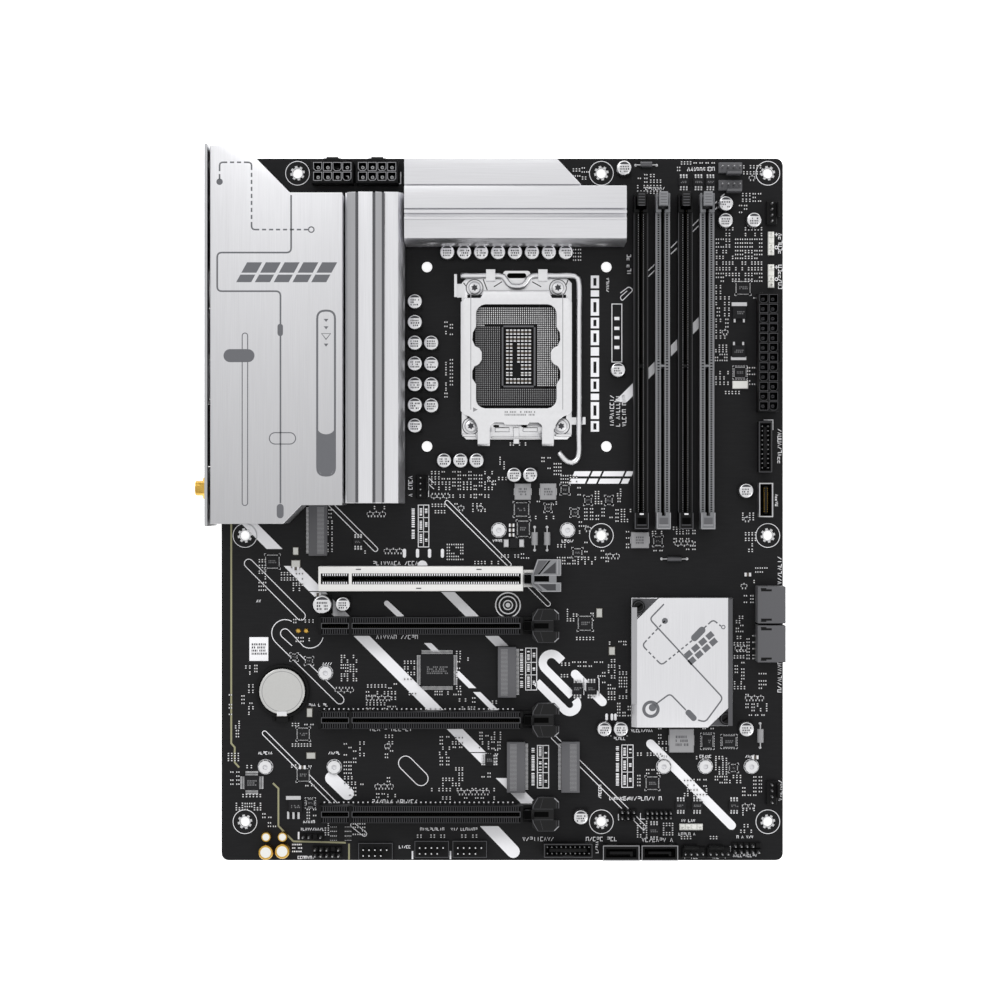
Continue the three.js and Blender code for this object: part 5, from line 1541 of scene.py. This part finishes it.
def cover_graphics():
    """Lines, pills and marks printed on the roof of the rear cover."""
    piece = Piece("cover_print")
    z = top_of("io_cover")
    disc(piece, -119.3, 138.4, 1.35, z, PRINT)
    line = [(-119.3, 139.4), (-119.3, 146.6), (-105.8, 146.6), (-105.8, 118.2), (-82, 118.2)]
    dashes(piece, rounded(line, 1.5), 0.65, z, PRINT, dash=1.7, gap=1.2)
    ring(piece, -80.6, 118.2, 0.9, 1.4, z, z + INK, PRINT, 24)
    line = [(-89.1, 132.8), (-89.1, 108.5), (-120.3, 108.5), (-120.3, 92.2), (-93.6, 92.2), (-93.6, 2.7)]
    stroke(piece, rounded(line, 2.0), 0.7, z, PRINT)
    capsule(piece, -93.7, 77.3, -93.7, 74.4, 1.15, z, PRINT, 2 * INK)
    capsule(piece, -93.7, 1, -93.7, -2.2, 1.45, z, PRINT, 2 * INK)
    loop(piece, -108.6, 73.4, -108.6, 2.9, 1.15, z, PRINT, 0.4)
    capsule(piece, -114.9, 65, -107.3, 65, 2.75, z, PRINT, 2 * INK)
    loop(piece, -95.9, 30.1, -89.6, 30.1, 2.4, z, PRINT, 0.42)
    frame_line = [(-78.1, 84), (-70.6, 84), (-70.6, 14.4), (-78.1, 14.4)]
    stroke(piece, rounded(frame_line, 3.4, closed=True), 0.85, z, PRINT, closed=True)
    left, right, low, level, mid = -78, -70.7, 14.6, 34.6, 31.8
    centre = (left + right) / 2
    scoop = [(centre + (right - centre) * math.cos(a), level + (mid - level) * math.sin(a))
             for a in (math.pi * k / 10 for k in range(11))]
    foot = arc(centre, low + 3.7, 3.7, 180, 360, 12)
    prism(piece, foot + scoop, z, z + 2 * INK, PRINT)
    for y, size in ((79.9, 1.0), (76.8, 1.0), (73.2, 1.9), (69.5, 1.0)):
        corners = [(centre, y - size * 0.7), (centre + size, y + size * 0.6),
                   (centre - size, y + size * 0.6)]
        if size > 1.5:
            stroke(piece, corners, 0.35, z, PRINT, closed=True)
        else:
            prism(piece, corners, z, z + INK, PRINT)
    x0, y0, x1, y1 = -112.3, 96, -72.7, 104.4
    wide = (x1 - x0) / 5
    for k in range(5):
        x = x0 + k * wide
        for low_edge, high_edge in ((y0, y0 + 3.2), (y0 + 4.0, y1)):
            slope = 0.55
            prism(piece, [(x + low_edge * slope - y0 * slope, low_edge),
                          (x + wide * 0.8 + low_edge * slope - y0 * slope, low_edge),
                          (x + wide * 0.8 + high_edge * slope - y0 * slope, high_edge),
                          (x + high_edge * slope - y0 * slope, high_edge)], z, z + INK, PRINT)
    piece.make()


def heatsink_painted_shade_bands():
    """Painted shade along the left power heatsink: grey bands for tilted facets, dark lines for shadow in
    grooves.
    """
    piece = Piece("heatsink_painted_shade_bands", "brushed_aluminium")
    (_, y0, _), (_, y1, top) = box_of("vrm_heatsink_left")
    # Grey bands are painted shade of the tilted facets; dark lines are painted shadow in the grooves.
    for left, right, finish in ((-65.8, -62, GREY_SHADE_AND_HIGHLIGHT), (-62.3, -61.1, DARK_METAL_AND_PAINTED_LIGHT),
                                (-55, -53.8, DARK_METAL_AND_PAINTED_LIGHT), (-53.9, -51, GREY_SHADE_AND_HIGHLIGHT),
                                (-51.1, -50.1, DARK_METAL_AND_PAINTED_LIGHT)):
        lift = INK if finish is GREY_SHADE_AND_HIGHLIGHT else INK + 0.02
        slab(piece, (left + right) / 2, (y0 + y1) / 2, right - left, y1 - y0 - 0.6, top, lift, finish)
    piece.make()


def chipset_graphics():
    """Lines, pills and marks printed on the chipset heatsink, and painted shade along its two long sides."""
    piece = Piece("chipset_print")
    z = top_of("chipset_heatsink")
    width, tone = 0.62, PRINT
    stroke(piece, rounded([(69.7, -40.8), (63.5, -47.2), (95.2, -81.3), (87.6, -91.6), (84.4, -90.8)], 1.8),
           width, z, tone)
    capsule(piece, 80.3, -87.6, 82.5, -89.9, 1.3, z, tone, 2 * INK)
    stroke(piece, rounded([(79.2, -86.5), (72.3, -79.4), (66.5, -83.7)], 1.6), width, z, tone)
    ring(piece, 64.1, -86.1, 2.4, 3.75, z, z + INK, tone, 40)
    disc(piece, 64.8, -85.4, 1.6, z, tone)
    disc(piece, 70.1, -48, 1.3, z, tone)
    dashes(piece, rounded([(70.1, -48), (60.3, -58.5), (68.7, -67.1), (81.8, -56.5)], 1.6), width, z, tone,
           dash=1.5, gap=1.0)
    capsule(piece, 82.9, -55.3, 86.1, -52, 1.5, z, tone, 2 * INK)
    dashes(piece, rounded([(87, -51.1), (90.9, -47.5), (94.3, -50.3)], 1.4), width, z, tone, dash=1.5,
           gap=1.0)
    ring(piece, 95.3, -50.7, 0.55, 0.95, z, z + INK, tone, 20)
    along = math.radians(41)
    for k in range(4):
        x, y = 81, -63.8
        x, y = x + 4.1 * k * math.cos(along), y + 4.1 * k * math.sin(along)
        for side in (-1, 1):
            px, py = turned_xy(x, y, side * 0.35, side * 1.55, 41)
            block(piece, px, py, 3.2, 2.5, z, z + INK, tone, turn=41)
    # Painted shade: a grey band down the left side and a darker band down the right side of the top.
    x0, y0, x1, y1 = 55.7, -93.8, 58.1, -38.2
    block(piece, (x0 + x1) / 2, (y0 + y1) / 2 + 3, x1 - x0, y1 - y0 - 14, z, z + 0.02, GREY_SHADE_AND_HIGHLIGHT)
    x0, y0, x1, y1 = 97.4, -93.8, 99.3, -38.2
    block(piece, (x0 + x1) / 2, (y0 + y1) / 2, x1 - x0, y1 - y0 - 1, z, z + 0.02, DARK_METAL_AND_PAINTED_LIGHT)
    piece.make()


def battery_details():
    """The spring contact of the coin cell and a turned line on its face."""
    piece = Piece("battery_contacts")
    cx, cy, _ = middle_of("battery")
    y0, top = box_of("battery")[0][1], top_of("battery")
    ring(piece, cx, cy, 8.6, 8.85, top, top + 0.02, DULL_TIN, 64)
    block(piece, cx, y0 + 0.4, 4.4, 2.2, top - 0.2, top + 0.35, STEEL, chamfer=0.15)
    for side in (-1, 1):
        block(piece, cx + side * 3.6, y0 - 1.9, 1.4, 2.0, BOARD_TOP, SEAT + 1.4, BLACK, chamfer=0.15)
    block(piece, cx, y0 - 1.9, 4.6, 1.4, BOARD_TOP, SEAT + 0.8, TIN)
    piece.make()


# ---------------------------------------------------------------- rear connectors


def tube_x(piece, x0, x1, y, z, inner, outer, finish, sides=24):
    """A ring or sleeve whose axis runs along X."""
    rings = []
    for x, radius in ((x0, outer), (x1, outer), (x1, inner), (x0, inner)):
        rings.append([(x, y + radius * math.cos(a), z + radius * math.sin(a))
                      for a in (math.tau * k / sides for k in range(sides))])
    points = [p for one in rings for p in one]
    faces = []
    for r in range(4):
        after = (r + 1) % 4
        for k in range(sides):
            n = (k + 1) % sides
            faces.append((r * sides + n, r * sides + k, after * sides + k, after * sides + n))
    piece.add(points, faces, finish)


def box_at(piece, x0, x1, y0, y1, z0, z1, finish, chamfer=0):
    """A box by its sides."""
    block(piece, (x0 + x1) / 2, (y0 + y1) / 2, x1 - x0, y1 - y0, z0, z1, finish, chamfer=chamfer)


def across(piece, x0, x1, y, half, z0, z1, finish):
    """A box by its two ends and its middle line."""
    box_at(piece, x0, x1, y - half, y + half, z0, z1, finish)


def usb_mouth(piece, y, z, tongue):
    """The coloured tongue, its contacts, and the spring fingers of one USB mouth centred at y and z."""
    face = PORT_FACE
    across(piece, face + 0.9, face + 8.8, y, 5.2, z - 0.1, z + 1.95, tongue)
    for k in range(4):
        across(piece, face + 1.4, face + 7, y + (k - 1.5) * 2.3, 0.5, z - 0.16, z - 0.1, GOLD)
    # Painted shadow at the back of the mouth.
    across(piece, face + 8.4, face + 8.9, y, 6.2, z - 2.5, z + 2.5, PAINTED_SHADOW)
    for side in (-1, 1):
        for level in (2.8, -3.15):
            across(piece, face - 0.04, face, y + side * 3.2, 1.2, z + level, z + level + 0.35, DARK_METAL_AND_PAINTED_LIGHT)


def display_mouth(piece, y, z, wide, tall):
    """The steel frame and the contacts of one display connector."""
    face = PORT_FACE
    low, high = z - tall / 2, z + tall / 2
    for low_z, high_z in ((low - 0.6, low - 0.05), (high + 0.05, high + 0.6)):
        across(piece, face - 0.06, face, y, wide / 2 + 0.6, low_z, high_z, PORT_STEEL)
    for side in (-1, 1):
        across(piece, face - 0.06, face, y + side * (wide / 2 + 0.33), 0.28, low, high, PORT_STEEL)
    for k in range(10):
        across(piece, face + 1.2, face + 6, y + (k - 4.5), 0.25, z - tall * 0.06, z - tall * 0.03, GOLD)


def rear_ports():
    """What is inside the rear connectors' mouths, and the antenna jacks' nuts."""
    piece = Piece("rear_port_details")
    face = PORT_FACE
    for y, rows, tongue in ((USB_Y, (4.2, 11.8, 19.4, 27), USB_BLUE), (SECOND_USB_Y, (4.2, 11.8), USB_BLUE),
                            (NETWORK_Y, (4.2, 11.8), GLOSS_BLACK)):
        for z in rows:
            usb_mouth(piece, y, SEAT + z, tongue)
    z = SEAT + 19.6
    # Painted shadow at the back of the mouth.
    across(piece, face + 8.3, face + 8.9, SECOND_USB_Y, 4.4, z - 1.6, z + 1.6, PAINTED_SHADOW)
    for k in range(8):
        across(piece, face + 1.2, face + 6, SECOND_USB_Y + (k - 3.5) * 0.8, 0.2, z + 0.15, z + 0.22, GOLD)
    z = SEAT + 22.6
    # Painted shadow at the back of the mouth.
    across(piece, face + 11.4, face + 11.9, NETWORK_Y, 5.8, z - 4.1, z + 4.1, PAINTED_SHADOW)
    for k in range(8):
        across(piece, face + 2, face + 11, NETWORK_Y + (k - 3.5) * 1.02, 0.22, z + 2.6, z + 2.9, GOLD)
    for side, lamp in ((-1, LIME), (1, GOLD)):
        across(piece, face - 0.05, face + 0.3, NETWORK_Y + side * 6.9, 0.8, z + 2.2, z + 3.8, lamp)
    display_mouth(piece, DISPLAY_Y, SEAT + 18.2, 16.2, 5)
    display_mouth(piece, DISPLAY_Y, SEAT + 6.2, 14.4, 4.8)
    for y in (AUDIO_Y - 6.4, AUDIO_Y + 6.4):
        for z in (5.8, 17.4, 29):
            tube_x(piece, face - 0.3, face + 0.6, y, SEAT + z, 1.9, 2.9, GOLD, 28)
            tube_x(piece, face - 0.12, face, y, SEAT + z, 3.6, 4.6, GLOSS_BLACK, 28)
            # Painted shadow down the jack's hole.
            tube_x(piece, face + 9, face + 9.4, y, SEAT + z, 0.2, 1.84, PAINTED_SHADOW, 16)
    piece.make()
    jacks = Piece("antenna_nuts", "gold_plate")
    nut = SHIELD_FACE - 0.02
    for y, z in ANTENNAS:
        tube_x(jacks, nut - 1.78, nut, y, z, 3.12, 4.5, GOLD, 6)
        tube_x(jacks, nut - 0.28, nut, y, z, 3.12, 5.0, GOLD, 24)
        for k in range(5):
            x = nut - 4.58 + k * 0.56
            tube_x(jacks, x, x + 0.28, y, z, 3.05, 3.24, GOLD, 24)
        tube_x(jacks, nut - 4.48, nut - 0.58, y, z, 0.6, 1.5, WHITE_PLASTIC, 16)
    jacks.make()


def shield_details():
    """Printed port symbols, a pressed rim and vents in painted shadow on the rear shield, and rings round
    its buttons.
    """
    piece = Piece("shield_print", "shield_steel")
    x0, x1 = SHIELD_FACE - 0.02, SHIELD_FACE
    for y, z, wide in ((DISPLAY_Y, 29.4, 9), (USB_Y, 36.2, 8), (SECOND_USB_Y, 28.6, 8), (NETWORK_Y, 34.4, 9),
                       (AUDIO_Y, 39.6, 14), (ANTENNAS[0][0], 36.4, 6)):
        for k in (0, 1, 3):
            left = y - wide / 2 + k * wide / 4
            box_at(piece, x0, x1, left, left + 0.7 * wide / 4, z, z + 1.0, PRINT)
    for y in (131.5, 142.5):
        tube_x(piece, x0, x1, y, 9, 3.4, 3.8, PRINT, 32)
        across(piece, x0, x1, y, 2.4, 14.4, 15.2, PRINT)
    for z0, z1 in ((-1.6, -1.2), (41.2, 41.6)):
        box_at(piece, x0 - 0.05, x1, -6, 153.4, z0, z1, SHIELD_STEEL)
    for y in (-6, 153.4):
        across(piece, x0 - 0.05, x1, y, 0.2, -1.6, 41.6, SHIELD_STEEL)
    # Vents drawn as near-black patches: painted shadow behind the holes.
    for row in range(7):
        for column in range(9):
            y, z = 126.5 + column * 2.7 + (row % 2) * 1.35, 20.5 + row * 2.6
            across(piece, x0, x1, y, 0.8, z - 0.7, z + 0.7, PAINTED_SHADOW)
    piece.make()


# ---------------------------------------------------------------- under the heatsinks and under the board


def under_heatsinks():
    """Power stages, chokes and thermal pads between the board and the power heatsinks."""
    piece = Piece("power_stages")
    for k in range(10):
        y = 10 + k * 12.9
        block(piece, -47, y, 6.8, 7.2, SEAT, SEAT + 3.0, FERRITE, chamfer=0.3)
        block(piece, -58.5, y, 5.2, 6.2, SEAT, SEAT + 0.9, EPOXY, chamfer=0.1)
        block(piece, -64, y, 1.6, 4.4, SEAT, SEAT + 0.8, TIN)
    box_at(piece, -62, -55, 5, 132, SEAT + 1.0, PAD_TOP, PAD)
    box_at(piece, -50, -44, 5, 132, SEAT + 3.05, PAD_TOP, PAD)
    for k in range(8):
        x = -35 + k * 11.4
        block(piece, x, 118, 7.2, 6.4, SEAT, SEAT + 3.0, FERRITE, chamfer=0.3)
        block(piece, x, 128.4, 6.2, 5.2, SEAT, SEAT + 0.9, EPOXY, chamfer=0.1)
    box_at(piece, -39, 50, 125.6, 131.4, SEAT + 1.0, PAD_TOP, PAD)
    box_at(piece, -39, 50, 115, 121, SEAT + 3.05, PAD_TOP, PAD)
    piece.make()


def joint(piece, x, y, radius=0.62, drop=0.9):
    """A solder cone under the board."""
    lathe(piece, x, y, [(radius * 1.25, -0.02), (radius, -0.2), (radius * 0.35, -drop)][::-1], TIN, 8)


def underside():
    """Solder joints, small chips and the backplate's insulating sheet under the board."""
    piece = Piece("underside_joints")
    for x in MEMORY_X:
        for k in range(77):
            for dx in (-1.6, 1.6):
                lathe(piece, x + dx, MEMORY_Y + (k - 38) * 1.7, [(0.18, -0.5), (0.5, -0.02)], TIN, 6)
    for y in SLOT_Y:
        for k in range(82):
            for dy in (-2.1, 2.1):
                lathe(piece, -77.5 + k * 1.04, y + dy, [(0.18, -0.5), (0.45, -0.02)], TIN, 6)
    for k in range(12):
        for dx in (-2.1, 2.1):
            joint(piece, MAIN_POWER[0] + dx, MAIN_POWER[1] + (k - 5.5) * CELL_PITCH, 0.9, 1.4)
    for cx, cy in CPU_POWER:
        for k in range(4):
            for dy in (-2.1, 2.1):
                joint(piece, cx + (k - 1.5) * CELL_PITCH, cy + dy, 0.9, 1.4)
    edge_header = middle_of("usb3_header_2")[:2]
    for (cx, cy), columns in [(place, 5) for place in BOX_HEADERS] + [
            (edge_header, 9), (SOUND_HEADER, 5), (PANEL_HEADER, 5)]:
        for k in range(columns):
            for dy in (-1.27, 1.27):
                joint(piece, cx + (k - (columns - 1) / 2) * 2.3, cy + dy, 0.55, 1.1)
    for y, half, count in ((DISPLAY_Y, 7, 8), (USB_Y, 6, 7), (SECOND_USB_Y, 6, 7), (NETWORK_Y, 6.5, 8),
                           (AUDIO_Y, 10, 7)):
        for k in range(count):
            for x in (-108, -111.5, -118):
                joint(piece, x, y - half + k * 2 * half / (count - 1), 0.6, 1.2)
    for x, y in TOP_CANS:
        for dx in (-1.3, 1.3):
            joint(piece, x + dx, y, 0.6, 1.0)
    for x, y in SIDE_CANS:
        for dy in (-1.3, 1.3):
            joint(piece, x, y + dy, 0.6, 1.0)
    piece.make()
    chips = Piece("underside_chips")
    for cx, cy, columns, rows in (
        (SOCKET_X, SOCKET_Y, 9, 11), (-53, 70, 4, 34), (77.7, -66, 9, 9), (74, 20, 3, 18),
        (-28.6, -70, 6, 5), (-60, -112, 8, 3),
    ):
        for i in range(columns):
            for j in range(rows):
                if draw.random() < 0.75:
                    x, y = cx + (i - (columns - 1) / 2) * 2.3, cy + (j - (rows - 1) / 2) * 2.1
                    block(chips, x, y, 0.7, 0.9, -0.6, -0.05, CERAMIC)
                    for side in (-1, 1):
                        block(chips, x + side * 0.55, y, 0.4, 0.95, -0.62, 0, TIN)
    chips.make()
    sheet = Piece("backplate_insulator", "black_plastic")
    outline = [(-26.7, 37.4), (-16.7, 25.4), (29.3, 25.4), (39.3, 37.4), (39.3, 95.4), (29.3, 107.4),
               (-16.7, 107.4), (-26.7, 95.4)]
    hole = 14.5
    inner = [(SOCKET_X + i * hole, SOCKET_Y + j * hole) for i, j in ((-1, -1), (1, -1), (1, 1), (-1, 1))
             for _ in range(2)]
    band(sheet, inner, outline, -0.3, -0.06, BLACK)
    sheet.make()


def plate_marks():
    """Marks on the load plate, and painted shade along the lines where it bends."""
    top = top_of("load_plate")
    plate = Piece("load_plate_marks", body="load_plate")
    marks(plate, 7.5, 41.6, 13, 2, finish=DULL_TIN, tall=0.8, z=top)
    prism(plate, [(-12.6, 44.2), (-10.6, 43.2), (-12.6, 42.2)], top, top + INK, DULL_TIN)
    # Grey lines where the plate bends down: painted shade.
    for x in (-13.6, 26.2):
        stroke(plate, [(x, 43.2), (x, 93.6)], 0.34, top, GREY_SHADE_AND_HIGHLIGHT)
    stroke(plate, [(-9, 94.8), (21.6, 94.8)], 0.3, top, GREY_SHADE_AND_HIGHLIGHT)
    plate.make()


def socket_fixings():
    """The tab under the lever, and the clips and slots of the socket frame's hinge."""
    tab = Piece("socket_tab", "socket_steel")
    outline = [(-0.4, 100.4), (0.8, 103.6), (11.8, 103.6), (13, 100.4), (13, 99.2), (-0.4, 99.2)]
    prism(tab, rounded(outline, 1, closed=True), SEAT, 3.0, STEEL)
    # Painted shadow in the tab's slot.
    capsule(tab, 3.2, 101.5, 9.4, 101.5, 1.1, 3.0, PAINTED_SHADOW)
    tab.make()
    hinge = Piece("socket_hinge", "socket_steel")
    z = SEAT + 1.2
    for x0, x1 in ((-17.4, -11.4), (23.2, 30.0)):
        box_at(hinge, x0, x1, 31.6, 32.8, z, z + 1.6, STEEL, 0.2)
    box_at(hinge, -4.6, 16.6, 30.7, 31.5, z, z + 1.7, STEEL, 0.2)
    box_at(hinge, 4.8, 7.4, 28.4, 35.6, z + 0.05, z + 1.0, STEEL, 0.2)
    for x in (0, 12.2):
        box_at(hinge, x - 3.2, x + 3.2, 33.6, 35.6, z, z + 0.9, STEEL, 0.3)
        # Painted shadow in the slot.
        capsule(hinge, x - 3.4, 36.2, x - 1.8, 36.2, 0.5, z, PAINTED_SHADOW)
    # Dark strokes: painted shadow in the gaps of the frame.
    for line in ([(-8.3, 100), (-6.4, 95)], [(-3.6, 96.7), (-0.1, 98.9)], [(13, 98.9), (16.9, 96.7)],
                 [(28.6, 99.7), (26.9, 95.4)], [(-16.8, 98.4), (-14.4, 95.4)]):
        stroke(hinge, line, 0.4, z, PAINTED_SHADOW)
    hinge.make()


def chipset_fixings():
    """The corner ears of the chipset heatsink, and on its push pins a painted shadow slot and a painted
    highlight ring.
    """
    ears = Piece("heatsink_ears")
    for x, y, side in ((56.2, -38.5, 1), (99.3, -93.6, -1)):
        corner = [(x, y), (x, y - side * 9.6), (x + side * 12.6, y)]
        prism(ears, corner, SEAT + 6.0, SEAT + 6.04, DARK_METAL_AND_PAINTED_LIGHT)
    ears.make()
    pins = Piece("push_pin_slots")
    for node in ("chipset_push_pin_1", "chipset_push_pin_2"):
        x, y, _ = middle_of(node)
        top = top_of(node)
        # Painted shadow in the slot, painted highlight on the ring.
        slab(pins, x, y, 3.8, 0.7, top, 0.03, PAINTED_SHADOW, turn=35)
        ring(pins, x, y, 2.0, 2.25, top, top + 0.05, DARK_SHADE_AND_HIGHLIGHT, 24)
    pins.make()


def outline_round(piece, node, half_width, half_length, width, z, finish):
    """A line in the form of a rectangle about the middle of a node."""
    x, y, _ = middle_of(node)
    stroke(piece, rectangle(x, y, half_width, half_length), width, z, finish, closed=True)


def edge_connectors():
    """Pale outlines as painted rim highlights, pin tips and contacts on the connectors along the edges of
    the board.
    """
    edges = Piece("socket_outlines")
    # Pale outlines round the tops of the edge sockets: painted highlights.
    for node in ("sata_edge_socket_1", "sata_edge_socket_2"):
        outline_round(edges, node, 7.7, 3.1, 0.3, top_of(node), PALE_EDGE_HIGHLIGHT)
    # Lighter outlines on the black headers: painted highlights.
    for node, half_width, half_length in (("usb3_header_2", 10.3, 2.8), ("usb3_header_1", 2.7, 10.8)):
        outline_round(edges, node, half_width, half_length, 0.22, SEAT + 8.8, DARK_METAL_AND_PAINTED_LIGHT)
    for x, y in BOX_HEADERS:
        stroke(edges, rectangle(x, y, 7.3, 3.5), 0.22, SEAT + 2.4, DARK_METAL_AND_PAINTED_LIGHT, closed=True)
        for column in range(5):
            for side in (-1, 1):
                if (column, side) != (4, -1):
                    px, py = x + (column - 2) * PITCH, y + side * PITCH / 2
                    slab(edges, px, py, 0.5, 0.5, SEAT + 8.6, 0.06, SOLDER)
    for node in ("sata_side_socket_1", "sata_side_socket_2"):
        y, top = middle_of(node)[1], top_of(node)
        for side in (-1, 1):
            slab(edges, 113.6, y + side * 6.3, 4.6, 0.9, top, 0.02, BLACK)
            slab(edges, 112.4, y + side * 7.0, 2.4, 0.5, top, 0.03, BLACK)
        for z in (SEAT + 4.6, SEAT + 11.2):
            for k in range(7):
                across(edges, 116.4, 121, y + (k - 3) * 1.27, 0.3, z, z + 0.04, GOLD)
    y = middle_of("usb_c_header")[1]
    # Painted shadow in the USB-C header's mouth.
    across(edges, 111.6, 116.2, y, 6.7, SEAT + 2.02, SEAT + 2.1, PAINTED_SHADOW)
    across(edges, 113.3, 114.5, y, 5.85, SEAT + 2.05, SEAT + 8.65, BLACK)
    edges.make()


# ---------------------------------------------------------------- floor, light and camera


def stage_and_light():
    """A white floor under even, soft light."""
    size = 30000
    floor = bpy.data.meshes.new("floor")
    z = cad_low.z - 0.1 * MM
    corners = [(x * size * MM, y * size * MM, z) for x, y in ((-1, -1), (1, -1), (1, 1), (-1, 1))]
    floor.from_pydata(corners, [], [(0, 1, 2, 3)])
    paper = look("studio_floor", (252, 252, 252), 0.7, size=400, bump=0, specular=0.1)
    glow = paper.node_tree.nodes["Principled BSDF"]
    glow.inputs["Emission Color"].default_value = (1, 1, 1, 1)
    glow.inputs["Emission Strength"].default_value = 0.8
    floor.materials.append(paper)
    sheet = bpy.data.objects.new("floor", floor)
    bpy.context.scene.collection.objects.link(sheet)

    world = bpy.data.worlds.new("studio")
    bpy.context.scene.world = world
    world.use_nodes = True
    nodes, links = world.node_tree.nodes, world.node_tree.links
    place = nodes.new("ShaderNodeTexCoord")
    split = nodes.new("ShaderNodeSeparateXYZ")
    links.new(place.outputs["Generated"], split.inputs["Vector"])
    ramp = nodes.new("ShaderNodeMapRange")
    ramp.inputs["From Min"].default_value = 0.0
    ramp.inputs["From Max"].default_value = 0.9
    ramp.inputs["To Min"].default_value = 0.62
    ramp.inputs["To Max"].default_value = 0.9
    links.new(split.outputs["Z"], ramp.inputs["Value"])
    links.new(ramp.outputs["Result"], nodes["Background"].inputs["Strength"])
    nodes["Background"].inputs["Color"].default_value = (1, 1, 1, 1)

    for name, place, power, width in (
        ("key", (-1.0, 1.1, 1.1), 6, 1.0), ("fill", (1.1, -0.9, 0.9), 4, 0.9),
        ("top", (0.1, 1.25, 1.8), 12, 0.7),
    ):
        lamp = bpy.data.lights.new(name, "AREA")
        lamp.energy = power
        lamp.size = width
        holder = bpy.data.objects.new(name, lamp)
        holder.location = place
        holder.visible_glossy = name != "top"
        aim = [-v for v in place]
        holder.rotation_euler = (
            math.atan2(math.hypot(aim[0], aim[1]), -aim[2]), 0, math.atan2(aim[1], aim[0]) - math.pi / 2)
        bpy.context.scene.collection.objects.link(holder)

    view = bpy.context.scene.view_settings
    view.view_transform = "Standard"
    view.look = "None"


def camera():
    """A camera that looks straight down on the board."""
    data = bpy.data.cameras.new("camera")
    data.lens = 110.96
    data.clip_start, data.clip_end = 0.05, 20
    holder = bpy.data.objects.new("camera", data)
    holder.location = (-0.96 * MM, 4.09 * MM, 1.3416)
    bpy.context.scene.collection.objects.link(holder)
    bpy.context.scene.camera = holder


# ---------------------------------------------------------------- the scene

dress_nodes()
board_art()
capacitors()
chokes_and_diodes()
chips_and_crystals()
open_headers()
small_chips()
larger_chips()
memory_contacts()
slot_contacts()
slot_latch_details()
memory_latch_details()
power_contacts()
header_contacts()
socket_contacts()
socket_well()
socket_screws()
cover_graphics()
heatsink_painted_shade_bands()
chipset_graphics()
battery_details()
rear_ports()
shield_details()
under_heatsinks()
underside()
plate_marks()
socket_fixings()
chipset_fixings()
edge_connectors()
stage_and_light()
camera()
